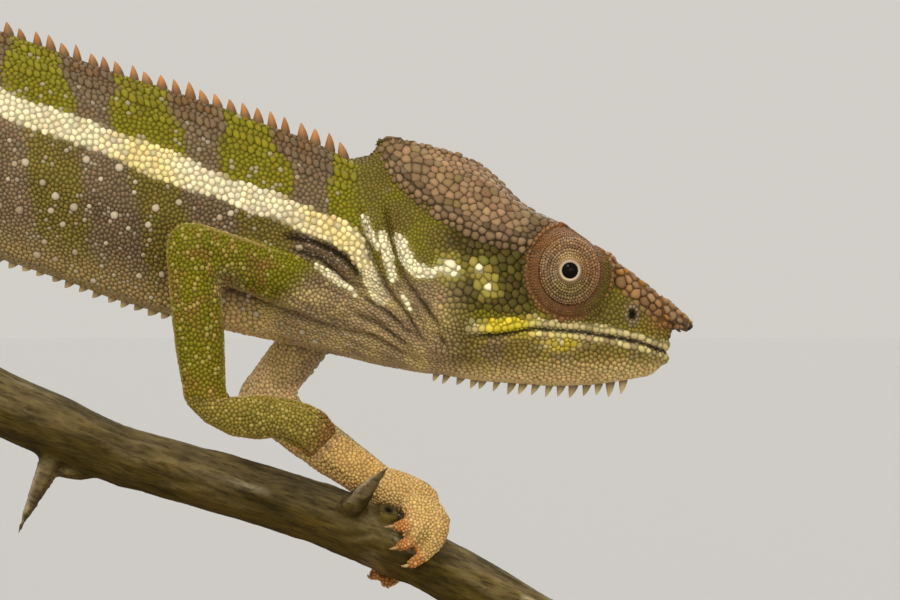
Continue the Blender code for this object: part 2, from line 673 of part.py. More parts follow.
# The lifted right hand: its palm reaches forward from the wrist, and both bundles of toes hang closed.
LIFTED_PALM = [(45.0, -14.0, 80.6), (45.4, -14.0, 78.4), (49.5, -13.6, 76.2), (53.5, -12.8, 75.2)]
LIFTED_TOES = [(53.0, -12.6, 75.6), (56.6, -11.8, 74.9), (59.6, -11.0, 73.6), (61.2, -10.4, 71.9)]
LIFTED_TIP = 1.25  # radius of a toe's end
LIFTED_PITCH = 1.35  # step between the toes of one bundle, forward and up
LIFTED_SPREAD = 1.9  # half the distance between the two bundles


def make_lifted_hand(name):
    shapes = [round_tube(smooth_path(LIFTED_PALM, 7), (3.2, 3.5, 3.8, 3.3), 12)]
    claws = []
    for count, side in ((3, 1), (2, -1)):
        for k in range(count):
            place = (k - (count - 1) / 2) * LIFTED_PITCH
            shift = Vector((place, side * LIFTED_SPREAD, place))
            path = [Vector(p) + shift * t for p, t in zip(LIFTED_TOES, (0.35, 0.8, 1.0, 1.0))]
            shapes.append(round_tube(smooth_path(path, 6), (2.4, 2.0, 1.6, LIFTED_TIP), 10))
            tip = path[-1]
            aim = (tip - Vector(path[-2])).normalized()
            base = tip + aim * (LIFTED_TIP + GAP)
            droop = Vector((-0.5, 0, -1)) * 0.38
            claws.append([base + (aim * t + droop * t * t) * CLAW_LENGTH for t in np.linspace(0, 1, 4)])
    foot = finish_foot(name, shapes, LIMBS["arm_right"]["joints"][2], Vector((0.08, 0.0, -1.0)).normalized())
    for k, path in enumerate(claws):
        make_claw(f"claw_{name}_{k + 1}", path, (0, 1, 0))
    return foot


def make_feet():
    for name, grip in GRIPS.items():
        limb = LIMBS[name.replace("hand", "arm").replace("foot", "leg")]
        shin = Vector(limb["joints"][2]) - Vector(limb["joints"][1])
        make_grip(name, **grip, shin=shin)
    make_lifted_hand("hand_right")


# ---- tail ----------------------------------------------------------------------------------------


def tail_path():
    """The tail's middle line: the root curve, then a spiral that winds down and forward."""
    centre = np.array(SPIRAL_CENTRE)
    spiral = []
    for t in np.linspace(0, 1, 40):
        turn = math.radians(96) + 2 * math.pi * SPIRAL_TURNS * t
        radius = SPIRAL_RADII[0] + (SPIRAL_RADII[1] - SPIRAL_RADII[0]) * t**0.92
        spiral.append(centre + radius * np.array([math.cos(turn), 0, math.sin(turn)]))
    return smooth_path([*TAIL_ROOT, *spiral], TAIL_RINGS)


def make_tail():
    path = tail_path()
    share = np.linspace(0, 1, len(path))
    thin = (1 - share) ** 0.82
    wide = TAIL_HALF_WIDTH[1] + (TAIL_HALF_WIDTH[0] - TAIL_HALF_WIDTH[1]) * thin
    tall = TAIL_HALF_HEIGHT[1] + (TAIL_HALF_HEIGHT[0] - TAIL_HALF_HEIGHT[1]) * thin
    rings = tube_rings(path, wide, tall, LIMB_SIDES)
    tangent = np.gradient(path, axis=0)
    tangent /= np.linalg.norm(tangent, axis=1)[:, None]
    edges = np.linspace(0, len(path) - 1, TAIL_LENGTHS + 1).round().astype(int)
    for k, (a, b) in enumerate(zip(edges, edges[1:])):
        part = [ring.copy() for ring in rings[a : b + 1]]
        part[0] += tangent[a] * GAP / 2
        if b < len(path) - 1:
            part[-1] -= tangent[b] * GAP / 2
        else:
            part.append([path[-1] + tangent[-1] * TAIL_HALF_HEIGHT[1]])
        name = f"tail_{k + 1}"
        add_object(name, mesh_from(loft(part), name), "skin_green")


# ---- stand ---------------------------------------------------------------------------------------


def make_stand():
    bm = bmesh.new()
    long, wide, tall = BASE_SIZE
    outline = []
    for sx, sy, first in ((1, 1, 0), (-1, 1, 90), (-1, -1, 180), (1, -1, 270)):
        corner = Vector((sx * (long / 2 - BASE_CORNER), sy * (wide / 2 - BASE_CORNER), 0))
        for step in range(6):
            turn = math.radians(first + 18 * step)
            outline.append(corner + Vector((math.cos(turn), math.sin(turn), 0)) * BASE_CORNER)
    chamfer = 1.5
    low = [(p.x, p.y, 0) for p in outline]
    high = [(p.x, p.y, tall - chamfer) for p in outline]
    inner = [(p.x * (1 - 2 * chamfer / long), p.y * (1 - 2 * chamfer / wide), tall) for p in outline]
    base = add_object("stand_base", mesh_from(loft([low, high, inner], bm), "stand_base"), "stand_wood")
    for name, x in ROD_STATIONS.items():
        rod = upright_rod(x, ROD_RADIUS, tall / 2, rod_top(x))
        add_object(name, mesh_from(rod, name), "stand_steel")
        drill = upright_rod(x, ROD_RADIUS + GAP, tall / 2 - GAP, tall + GAP)
        boolean(base, add_object("drill", mesh_from(drill, "drill"), "stand_wood"), "DIFFERENCE")


# ---- the whole model -----------------------------------------------------------------------------


def shade(limit=40.0):
    """Smooth shading, with edges kept where faces turn sharply."""
    for obj in bpy.data.objects:
        obj.data.shade_smooth()
        obj.data.set_sharp_from_angle(angle=math.radians(limit))


def main():
    for obj in list(bpy.data.objects):
        bpy.data.objects.remove(obj)
    make_body()
    make_eyes()
    for limb in LIMBS.values():
        make_limb(**limb)
    make_branch()
    make_feet()
    make_tail()
    make_stand()
    shade()


main()
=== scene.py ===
import math
import bpy
import bmesh
import numpy as np
from mathutils import Matrix, Vector
from mathutils.bvhtree import BVHTree
from mathutils.kdtree import KDTree


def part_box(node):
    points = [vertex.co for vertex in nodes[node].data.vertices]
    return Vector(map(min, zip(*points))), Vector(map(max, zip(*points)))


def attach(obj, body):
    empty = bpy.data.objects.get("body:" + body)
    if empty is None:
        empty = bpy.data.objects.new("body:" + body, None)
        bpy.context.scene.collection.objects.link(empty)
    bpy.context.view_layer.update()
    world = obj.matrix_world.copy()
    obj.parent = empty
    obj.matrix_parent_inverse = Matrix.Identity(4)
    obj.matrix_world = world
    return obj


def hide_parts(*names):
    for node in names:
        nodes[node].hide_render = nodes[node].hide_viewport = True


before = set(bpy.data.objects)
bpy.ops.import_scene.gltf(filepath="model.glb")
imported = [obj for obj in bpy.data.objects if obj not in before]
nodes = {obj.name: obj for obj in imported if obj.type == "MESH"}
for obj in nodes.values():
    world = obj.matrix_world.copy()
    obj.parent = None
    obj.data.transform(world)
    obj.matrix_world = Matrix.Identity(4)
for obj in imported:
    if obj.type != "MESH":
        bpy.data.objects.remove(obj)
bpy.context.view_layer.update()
mm = 0.001  # lengths in this file are millimetres until a mesh is made
dice = np.random.default_rng(41)
print("frame loaded,", len(nodes), "nodes")


# camera, lights and floor

studio = {
    "cameraAt": (79.95, -900.0, 92.0), "lens": 248.3, "sensor": 36.0,
    "key": ((-250.0, -520.0, 640.0), 1.65, 22.0, (1.0, 0.955, 0.87)),  # from, strength, softness, tone
    "fill": ((160.0, -900.0, 70.0), 1.45, 50.0, (1.0, 0.97, 0.92)),
    "back": ((160.0, 520.0, 420.0), 0.8, 30.0, (1.0, 0.98, 0.94)),
    "pale": (0.80, 0.775, 0.725), "paper": (0.456, 0.459, 0.459), "worldStrength": 0.80,
}


def makeStudio(s):
    scene = bpy.context.scene
    scene.view_settings.view_transform = "Standard"
    eye = bpy.data.objects.new("camera", bpy.data.cameras.new("camera"))
    scene.collection.objects.link(eye)
    eye.location = Vector(s["cameraAt"]) * mm
    eye.rotation_euler = (math.radians(90), 0, 0)
    eye.data.lens, eye.data.sensor_width = s["lens"], s["sensor"]
    eye.data.clip_start, eye.data.clip_end = 0.01, 60
    scene.camera = eye
    for name in ("key", "fill", "back"):
        place, strength, softness, tone = s[name]
        lamp = bpy.data.lights.new(name + "_light", "SUN")
        lamp.energy, lamp.angle, lamp.color = strength, math.radians(softness), tone
        holder = bpy.data.objects.new(name + "_light", lamp)
        scene.collection.objects.link(holder)
        holder.location = Vector(place) * mm
        holder.rotation_euler = (-Vector(place)).to_track_quat("-Z", "Y").to_euler()
    world = bpy.data.worlds.new("studio")
    world.use_nodes = True
    sky = world.node_tree.nodes["Background"]
    sky.inputs["Color"].default_value = (*s["pale"], 1)
    sky.inputs["Strength"].default_value = s["worldStrength"]
    scene.world = world
    floor = bpy.data.meshes.new("floor")
    reach = 14.0
    corners = [(-reach, -reach, 0), (reach, -reach, 0), (reach, reach, 0), (-reach, reach, 0)]
    floor.from_pydata(corners, [], [(0, 1, 2, 3)])
    ground = bpy.data.objects.new("floor", floor)
    scene.collection.objects.link(ground)
    paper = bpy.data.materials.new("studio_paper")
    paper.use_nodes = True
    shader = paper.node_tree.nodes["Principled BSDF"]
    shader.inputs["Base Color"].default_value = (*s["paper"], 1)
    shader.inputs["Roughness"].default_value = 0.9
    floor.materials.append(paper)


makeStudio(studio)
print("studio ready")


# small tools

def mixTo(a, b, t):
    a, b = np.asarray(a, float), np.asarray(b, float)
    return a + (b - a) * np.asarray(t, float)[..., None]


def ramp(value, low, high):
    t = np.clip((value - low) / (high - low), 0, 1)
    return t * t * (3 - 2 * t)


def hump(value, middle, width):
    # 1 at the middle, falling smoothly to 0 on both sides
    return np.exp(-(((value - middle) / width) ** 2))


def heightAt(x, line):
    # height at x of a line in side view
    return np.interp(x, *zip(*sorted(line)))


def treeOf(points):
    tree = KDTree(len(points))
    for k, p in enumerate(points.tolist()):
        tree.insert(p, k)
    tree.balance()
    return tree


def wander(points, size, seed=0):
    # smooth noise from -1 to 1 with lumps about this size
    q = points / size + seed * 17.31
    cell = np.floor(q).astype(np.int64)
    f = q - cell
    f = f * f * (3 - 2 * f)
    total = np.zeros(len(points))
    for corner in np.ndindex(2, 2, 2):
        c = cell + corner
        h = (c[:, 0] * 73856093) ^ (c[:, 1] * 19349663) ^ (c[:, 2] * 83492791)
        h = ((h ^ (h >> 13)) * 1274126177) & 0xFFFFFFFF
        value = ((h ^ (h >> 16)) & 65535) / 32767.5 - 1
        total += value * np.prod(np.where(np.array(corner) == 1, f, 1 - f), axis=1)
    return total


def mottling(points, size, seed, low, high):
    # smooth noise as a share from 0 to 1
    return ramp(wander(points, size, seed), low, high)


def toLine(x, z, line):
    # distance to a line in side view, and the share of the way along it
    best, where = np.full(len(x), 1e9), np.zeros(len(x))
    steps = [0.0]
    for (ax, az), (bx, bz) in zip(line, line[1:]):
        steps.append(steps[-1] + math.hypot(bx - ax, bz - az))
    for k, ((ax, az), (bx, bz)) in enumerate(zip(line, line[1:])):
        dx, dz = bx - ax, bz - az
        t = np.clip(((x - ax) * dx + (z - az) * dz) / (dx * dx + dz * dz), 0, 1)
        d = np.hypot(x - ax - t * dx, z - az - t * dz)
        closer = d < best
        best = np.where(closer, d, best)
        where = np.where(closer, (steps[k] + t * (steps[k + 1] - steps[k])) / steps[-1], where)
    return best, where


def alongLine(line, spacing):
    # points at even spacing along a line of 2 or 3 numbers a point
    line = np.array(line, float)
    steps = np.concatenate([[0], np.cumsum(np.linalg.norm(np.diff(line, axis=0), axis=1))])
    at = np.linspace(0, steps[-1], max(2, int(round(steps[-1] / spacing)) + 1))
    return np.stack([np.interp(at, steps, line[:, k]) for k in range(line.shape[1])], axis=1)


def readAll(items, name, width=1, kind=np.float32):
    values = np.zeros(len(items) * width, kind)
    items.foreach_get(name, values)
    return values


def writeAll(items, name, values):
    items.foreach_set(name, np.asarray(values).astype(np.float32).ravel())


def setPoints(mesh, points):
    writeAll(mesh.vertices, "co", np.asarray(points) * mm)


def pointsOf(mesh):
    return readAll(mesh.vertices, "co", 3).reshape(-1, 3).astype(float) / mm


def trianglesOf(mesh):
    return readAll(mesh.polygons, "vertices", 3, np.int32).reshape(-1, 3)


def smoothAll(mesh):
    mesh.polygons.foreach_set("use_smooth", np.full(len(mesh.polygons), True))


def ringFaces(rows, count):
    # four-sided faces between rings of this many points
    return [(r * count + k, r * count + (k + 1) % count, (r + 1) * count + (k + 1) % count,
             (r + 1) * count + k) for r in range(rows - 1) for k in range(count)]


def meshFrom(name, points, faces):
    mesh = bpy.data.meshes.new(name)
    mesh.vertices.add(len(points))
    setPoints(mesh, points)
    sizes = [len(f) for f in faces]
    corners = np.concatenate(faces)
    mesh.loops.add(len(corners))
    mesh.loops.foreach_set("vertex_index", corners.astype(np.int32))
    mesh.polygons.add(len(sizes))
    starts = np.concatenate([[0], np.cumsum(sizes)[:-1]])
    mesh.polygons.foreach_set("loop_start", starts.astype(np.int32))
    smoothAll(mesh)
    mesh.update(calc_edges=True)
    return mesh


def addPiece(name, mesh, material=None):
    piece = bpy.data.objects.new(name, mesh)
    bpy.context.scene.collection.objects.link(piece)
    if material:
        mesh.materials.clear()
        mesh.materials.append(material)
    return piece


def bakeModifiers(piece):
    # the modifiers' result becomes the plain mesh
    shape = bpy.data.meshes.new_from_object(
        piece.evaluated_get(bpy.context.evaluated_depsgraph_get()))
    piece.modifiers.clear()
    piece.data = shape
    return piece


def drop(piece):
    mesh = piece.data
    bpy.data.objects.remove(piece)
    bpy.data.meshes.remove(mesh)


def cleanCopy(names, swells=None, first=None):
    # CAD nodes' meshes joined, with doubles merged, moved out along their normals
    bm = bmesh.new()
    if first:
        bm.from_mesh(first)
    for name, swell in zip(names, swells or [0.0] * len(names)):
        part = bmesh.new()
        part.from_mesh(nodes[name].data)
        bmesh.ops.remove_doubles(part, verts=part.verts, dist=1e-7)
        part.normal_update()
        if swell:
            moves = [v.normal * swell * mm for v in part.verts]
            for v, move in zip(part.verts, moves):
                v.co += move
        mesh = bpy.data.meshes.new("part")
        part.to_mesh(mesh)
        part.free()
        bm.from_mesh(mesh)
        bpy.data.meshes.remove(mesh)
    mesh = bpy.data.meshes.new("joined")
    bm.to_mesh(mesh)
    bm.free()
    return mesh


def vertexTint(mesh, tints):
    layer = mesh.attributes.new("tint", "FLOAT_COLOR", "POINT")
    full = np.ones((len(tints), 4), np.float32)
    full[:, :3] = np.clip(tints, 0, 1)
    writeAll(layer.data, "color", full)


# materials

def newMaterial(name):
    made = bpy.data.materials.new(name)
    made.use_nodes = True
    tree = made.node_tree
    return made, tree, tree.nodes["Principled BSDF"]


def addNode(tree, kind, settings=None, **inputs):
    node = tree.nodes.new(kind)
    for key, value in (settings or {}).items():
        setattr(node, key, value)
    for key, value in inputs.items():
        socket = node.inputs[key.replace("_", " ")]
        if isinstance(value, bpy.types.NodeSocket):
            tree.links.new(value, socket)
        else:
            socket.default_value = value
    return node


def mixNode(tree, blend, share, a, b):
    node = tree.nodes.new("ShaderNodeMix")
    node.data_type, node.blend_type = "RGBA", blend
    for socket, value in ((node.inputs[0], share), (node.inputs[6], a), (node.inputs[7], b)):
        if isinstance(value, bpy.types.NodeSocket):
            tree.links.new(value, socket)
        else:
            socket.default_value = value
    return node.outputs[2]


def noiseNode(tree, place, scale, detail, **more):
    noise = addNode(tree, "ShaderNodeTexNoise", Vector=place, Scale=scale, Detail=detail, **more)
    return noise.outputs["Fac"]


def greys(*stops):
    return [(at, (tone,) * 3) for at, tone in stops]


def stretched(tree, place, scale, **more):
    return addNode(tree, "ShaderNodeMapping", Vector=place, Scale=scale, **more).outputs[0]


def placeOf(tree):
    return addNode(tree, "ShaderNodeTexCoord").outputs["Object"]


def tintOf(tree):
    return addNode(tree, "ShaderNodeAttribute", {"attribute_name": "tint"}).outputs["Color"]


def rampNode(tree, factor, stops):
    node = tree.nodes.new("ShaderNodeValToRGB")
    tree.links.new(factor, node.inputs[0])
    while len(node.color_ramp.elements) < len(stops):
        node.color_ramp.elements.new(0.5)
    for element, (at, tone) in zip(node.color_ramp.elements, stops):
        element.position = at
        element.color = (*tone, 1) if len(tone) == 3 else tone
    return node.outputs[0]


def hideMaterial(name, dark, rough, bumpSize, bumpDepth):
    # tinted hide: the tint is stored on the vertices, fine mottling and relief are added here
    made, tree, shader = newMaterial(name)
    place = placeOf(tree)
    cloud = noiseNode(tree, place, 420.0, 3.0)
    shade = rampNode(tree, cloud, greys((0.3, dark), (0.72, 1.0)))
    tree.links.new(mixNode(tree, "MULTIPLY", 1.0, tintOf(tree), shade), shader.inputs["Base Color"])
    grain = noiseNode(tree, place, bumpSize, 2.0)
    bump = addNode(tree, "ShaderNodeBump", Height=grain, Distance=bumpDepth * mm)
    bump.inputs["Strength"].default_value = 0.6
    tree.links.new(bump.outputs["Normal"], shader.inputs["Normal"])
    sheen = rampNode(tree, cloud, greys((0.2, rough - 0.1), (0.8, rough + 0.12)))
    tree.links.new(sheen, shader.inputs["Roughness"])
    shader.inputs["Specular IOR Level"].default_value = 0.22
    shader.inputs["Specular Tint"].default_value = (1.0, 0.86, 0.48, 1)
    return made


materials = {
    "skin": hideMaterial("hide_under_scales", 0.78, 0.62, 1500.0, 0.08),
    "scale": hideMaterial("scale_hide", 0.88, 0.46, 2600.0, 0.02),
    "horn": hideMaterial("horny_scale", 0.78, 0.52, 1700.0, 0.05),
}


# skin: one surface over all the flesh, drawn in by the depth of the scales

sides = ("left", "right")
limbNames = [a + "_" + s for s in sides
             for a in ("upper_arm", "forearm", "hand", "thigh", "shank", "foot")]
flesh = ["trunk", "hips", "head", "casque", "lower_jaw"] + limbNames + [f"tail_{k}" for k in range(1, 6)]
turretNodes = ["eye_turret_" + s for s in sides]
bodyLike = [flesh.index(n) for n in ("trunk", "hips", "head", "casque", "lower_jaw")]
headLike = [flesh.index(n) for n in ("head", "casque", "lower_jaw")]

skinForm = {"voxel": 0.5, "swell": 0.32, "toeSwell": 0.10, "polish": 8, "headFrom": (62.0, 76.0),
            "triangles": 192000}
crestSpans = ((-51.0, 65.4, 1), (-21.0, 41.0, -1), (78.4, 106.4, -1))  # start, end, up or down
# x and z between the upper and lower ridges
middleLine = ((-52, 141), (-24, 126), (16, 114), (50, 103), (71, 99), (97, 91), (112, 85))
swells = [skinForm["toeSwell" if n.startswith(("hand", "foot")) else "swell"] for n in flesh]


def remeshed(piece, voxel):
    remesh = piece.modifiers.new("remesh", "REMESH")
    remesh.mode, remesh.voxel_size, remesh.use_smooth_shade = "VOXEL", voxel * mm, True
    bakeModifiers(piece)
    bm = bmesh.new()
    bm.from_mesh(piece.data)
    return bm


def makeSkinBase(s):
    # trunk and head first, where the crest's cones are cut back, then limbs and tail are joined on
    core = addPiece("core", cleanCopy(flesh[:5], swells[:5]))
    bm = remeshed(core, s["voxel"])
    bmesh.ops.triangulate(bm, faces=bm.faces[:])
    bm.to_mesh(core.data)
    bm.free()
    p, t = pointsOf(core.data), trianglesOf(core.data)
    for start, end, up in crestSpans:
        for _ in range(2):
            p = trimCones(p, edgePairs(t), start, end, up)
    setPoints(core.data, p)
    piece = addPiece("skin", cleanCopy(flesh[5:], swells[5:], core.data))
    drop(core)
    bm = remeshed(piece, s["voxel"])
    headX, headZ = s["headFrom"]
    finer = [e for e in bm.edges if all(v.co.x > headX * mm and v.co.z > headZ * mm for v in e.verts)]
    bmesh.ops.subdivide_edges(bm, edges=finer, cuts=1, use_grid_fill=True, smooth=0.0)
    bmesh.ops.triangulate(bm, faces=bm.faces[:])
    keepLargest(bm)
    bm.to_mesh(piece.data)
    bm.free()
    return piece


def trimCones(points, pairs, start, end, up):
    # the crest's cones are cut back to the ridge line, and made again later as horny cones
    x, y, z = points.T
    middle = (np.abs(y) < 0.5) & (x > start - 3) & (x < end + 3)
    beyond = (z - heightAt(x, middleLine)) * up > 0
    middle &= beyond
    at = np.arange(start, end + 1, 1.0)
    slope = np.polyfit(x[middle], z[middle], 1)[0]
    for k in range(2):
        flat = (z - slope * x) if k == 0 else (z - np.interp(x, at, line))
        low = np.array([(flat[middle & (np.abs(x - a) < 1.15)] * up).min() * up for a in at])
        low = np.convolve(np.pad(low, 2, mode="edge"), np.ones(5) / 5, "valid")
        line = low + (slope * at if k == 0 else line)
    near = (np.abs(y) < 1.8) & (x > start) & (x < end) & ((z - np.interp(x, at, line)) * up > 0) & beyond
    out = points.copy()
    out[near, 2] = np.interp(x[near], at, line)
    band = (np.abs(y) < 2.0) & (x > start - 2) & (x < end + 2)
    band &= np.abs(z - np.interp(x, at, line)) < 2.2
    return evened(out, pairs, band * ramp(-np.abs(y), -2.0, -1.0) * 0.9, 6, push=0)


def keepLargest(bm):
    # loose crumbs left by the remesh are taken away
    groups, seen = [], set()
    for start in bm.verts:
        if start in seen:
            continue
        group, stack = [], [start]
        seen.add(start)
        while stack:
            v = stack.pop()
            group.append(v)
            for e in v.link_edges:
                other = e.other_vert(v)
                if other not in seen:
                    seen.add(other)
                    stack.append(other)
        groups.append(group)
    groups.sort(key=len)
    bmesh.ops.delete(bm, geom=[v for group in groups[:-1] for v in group], context="VERTS")


def edgePairs(tris):
    e = np.sort(np.concatenate([tris[:, [0, 1]], tris[:, [1, 2]], tris[:, [2, 0]]]), axis=1)
    return np.unique(e, axis=0)


def evened(points, pairs, weight, rounds, pull=0.5, push=-0.52):
    # smooths without shrinking where push is given: each point goes toward its neighbours' middle
    a, b = np.concatenate([pairs[:, 0], pairs[:, 1]]), np.concatenate([pairs[:, 1], pairs[:, 0]])
    count = np.bincount(a, minlength=len(points))[:, None]
    p = points.copy()
    for _ in range(rounds):
        for step in ((pull, push) if push else (pull,)):
            total = np.stack([np.bincount(a, p[b, i], len(p)) for i in range(p.shape[1])], axis=1)
            p += (total / count - p) * (weight * step)[:, None]
    return p


def normalsOf(points, tris):
    a, b, c = points[tris[:, 0]], points[tris[:, 1]], points[tris[:, 2]]
    face = np.cross(b - a, c - a)
    n = np.stack([np.bincount(tris.ravel(), np.repeat(face[:, i], 3), len(points))
                  for i in range(3)], axis=1)
    return n / np.maximum(np.linalg.norm(n, axis=1, keepdims=True), 1e-12)


def regionFinder():
    points, tris, owner, start = [], [], [], 0
    for k, name in enumerate(flesh):
        mesh = cleanCopy([name])
        p, t = pointsOf(mesh), trianglesOf(mesh)
        points.append(p)
        tris.append(t + start)
        owner.append(np.full(len(t), k))
        start += len(p)
        bpy.data.meshes.remove(mesh)
    tree = BVHTree.FromPolygons(np.concatenate(points).tolist(), np.concatenate(tris).tolist())
    return tree, np.concatenate(owner)


def ontoFlesh(chosen, rise):
    # the chosen points go back to the CAD's surface, raised a little
    snapped = np.array([fleshTree.find_nearest(p)[0] for p in base[chosen].tolist()])
    base[chosen] = snapped + normalsOf(base, tris)[chosen] * rise


skin = makeSkinBase(skinForm)
tris = trianglesOf(skin.data)
base = pointsOf(skin.data)
pairs = edgePairs(tris)
fleshTree, fleshOwner = regionFinder()
region = np.array([fleshOwner[fleshTree.find_nearest(p)[2]] for p in base.tolist()])
print("skin wrapped,", len(tris), "triangles")

onBody = np.isin(region, bodyLike)
onHead = np.isin(region, headLike)
toes = np.isin(region, [k for k, n in enumerate(flesh) if n.startswith(("hand", "foot"))])
base = evened(base, pairs, np.where(toes, 0.4, 1.0), skinForm["polish"])
ontoFlesh(toes, skinForm["toeSwell"])
ontoFlesh(onHead & (base[:, 0] > 110.5) & (base[:, 2] > 86.3), skinForm["swell"] + 0.25)
base = evened(base, pairs, toes * 0.5, 1)
hollow = ((evened(base, pairs, toes * 1.0, 14, push=0) - base) * normalsOf(base, tris)).sum(axis=1)
base -= normalsOf(base, tris) * (np.clip(hollow, 0, 0.35) * toes)[:, None]  # deeper creases between toes


# how far the skin lies inside the flesh, to leave room for the scales
coatDepth = {"body": 0.30, "head": 0.22, "limb": 0.20, "foot": 0.14, "tail": 0.22}


def depthOf(regions):
    depth = np.full(len(regions), coatDepth["body"])
    for k, name in enumerate(flesh):
        kind = ("head" if k in headLike else "tail" if "tail" in name
                else "foot" if "hand" in name or "foot" in name
                else "limb" if "_left" in name or "_right" in name else "body")
        depth[regions == k] = coatDepth[kind]
    return depth


depth = evened(depthOf(region)[:, None], pairs, np.ones(len(base)), 8, push=0)[:, 0]
swollen = evened(np.array(swells)[region][:, None], pairs, np.ones(len(base)), 4, push=0)[:, 0]
base -= normalsOf(base, tris) * (swollen + depth)[:, None]
base = evened(base, pairs, np.where(toes, 0.3, 1.0), 2)


# landmarks of the head and body, in side view (x, z) where they are pairs

eyeAt, eyeRadii = np.array([97.1, 7.1, 96.2]), np.array([5.0, 5.3, 5.6])
mouthLine = [(113.9, 83.7), (111.0, 84.5), (107.5, 85.8), (104.4, 86.5), (98.6, 87.4), (92.1, 87.9),
             (86.5, 87.0), (82.6, 87.0)]
canthus = [(101.2, 5.2, 99.4), (105.0, 4.4, 95.6), (109.4, 3.3, 91.9), (112.4, 2.3, 89.7),
           (114.0, 1.8, 88.7)]
canthusSide = [(x, z) for x, y, z in canthus]
casqueCrest = [(70.2, 113.6), (72.7, 109.6), (78.5, 104.9), (84.4, 101.9), (89.0, 100.6), (91.6, 100.4)]
headTop = [(96.0, 101.6), (101.2, 99.7), (105.0, 96.2), (109.4, 92.6), (112.4, 90.4), (114.0, 89.4)]
nostrilAt = (106.2, 89.9)
foldLines = {  # line in side view: (depth, half width)
    ((55.3, 101.2), (60.5, 100.3), (64.6, 98.2), (68.2, 94.2)): (0.62, 0.48),
    ((57.0, 99.6), (61.5, 97.8), (65.5, 94.2)): (0.42, 0.42),
    ((66.9, 106.2), (68.5, 98.8), (70.8, 93.7), (73.9, 89.5), (77.0, 84.4)): (0.60, 0.42),
    ((70.4, 107.0), (72.1, 98.8), (73.4, 95.0), (76.6, 90.6), (80.4, 86.0)): (0.55, 0.42),
    ((66.9, 92.6), (71.5, 89.8), (76.3, 85.2)): (0.40, 0.38),
    ((65.3, 90.3), (69.9, 88.4), (74.6, 84.9)): (0.36, 0.36),
    ((63.9, 87.9), (68.8, 86.8), (73.1, 84.5), (76.6, 82.9)): (0.30, 0.36),
    ((75.6, 92.4), (77.6, 88.6), (79.6, 84.6)): (0.45, 0.42),
    ((46.5, 94.9), (52.0, 92.2), (58.1, 89.8), (65.3, 87.2)): (0.32, 0.45),
}
streaks = (  # pale streaks in side view: line, half width
    ([(67.5, 104.0), (68.3, 101.6), (69.6, 99.6)], 0.50),
    ([(70.2, 101.2), (71.0, 98.2), (71.8, 95.0)], 0.70),
    ([(72.6, 100.8), (73.9, 97.6), (75.6, 96.0), (77.4, 95.8), (79.2, 96.6)], 0.85),
    ([(60.9, 96.9), (63.6, 94.9), (66.4, 92.9)], 0.42),
    ([(73.2, 92.8), (74.2, 90.6)], 0.32),
)
spots = ((79.8, 96.6, 1.15), (84.1, 96.7, 0.48), (85.4, 93.8, 0.55))  # pale spots: x, z, radius


def fromEye(x, z):
    # distance from the pupil in side view, with the eye's oval evened to a circle
    return np.hypot((x - eyeAt[0]) / eyeRadii[0], (z - eyeAt[2]) / eyeRadii[2]) * eyeRadii[1]


def paleMarks(p):
    # share of cream from the streaks and spots, and of the yellow round about the spots
    x, z = p[:, 0], p[:, 2]
    rough = 0.35 * wander(p, 0.9, 81)
    white, yellow = np.zeros(len(p)), np.zeros(len(p))
    for line, wide in streaks:
        d, t = toLine(x, z, line)
        wide = wide * (0.6 + 0.4 * np.sin(math.pi * np.clip(t + 0.12, 0, 1)))
        white = np.maximum(white, 1 - ramp(d + rough * wide, wide, wide + 0.3))
        yellow = np.maximum(yellow, 0.6 * (1 - ramp(d + rough, wide, wide + 0.9)))
    for sx, sz, wide in spots:
        d = np.hypot(x - sx, z - sz)
        white = np.maximum(white, 1 - ramp(d + rough * wide, wide, wide + 0.25))
        yellow = np.maximum(yellow, 1 - ramp(d + rough, wide + 0.9, wide + 1.9))
    return white, yellow


def bodyLines(points, mask):
    # the upper and lower outline of the body as functions of x
    at = np.arange(-52.0, 70.0, 2.0)
    high, low = [], []
    for x in at:
        near = mask & (np.abs(points[:, 0] - x) < 1.2)
        high.append(points[near, 2].max())
        low.append(points[near, 2].min())
    return at, np.array(high), np.array(low)


trunkLike = np.isin(region, [flesh.index("trunk"), flesh.index("hips")])
lineAt, lineHigh, lineLow = bodyLines(base, trunkLike & (np.abs(base[:, 1]) < 4))


def outlineAt(x):
    # the body's upper and lower outline at x
    return np.interp(x, lineAt, lineHigh), np.interp(x, lineAt, lineLow)


# the stripe's height as a share of the body's, by x
stripeShare = [(-60, 0.55), (-40, 0.60), (-15, 0.65), (15, 0.675), (30, 0.672), (44, 0.645), (58, 0.62)]


def stripeLine():
    line = []
    for x in range(-50, 62, 4):
        high, low = outlineAt(x)
        share = heightAt(x, stripeShare)
        line.append((float(x), low + (high - low) * share))
    return line + [(64.0, 101.9), (67.2, 98.9), (69.3, 94.6), (70.2, 92.4)]


stripe = stripeLine()


def neckShare(p):
    # where the hide of the neck and throat lies in fine parallel wrinkles
    x, y, z = p.T
    mask = ramp(x, 50, 57) * (1 - ramp(x, 76, 80)) * ramp(z, 80, 83) * (1 - ramp(z, 94.5, 97.5))
    return mask * ramp(np.abs(y), 1.5, 3.0)


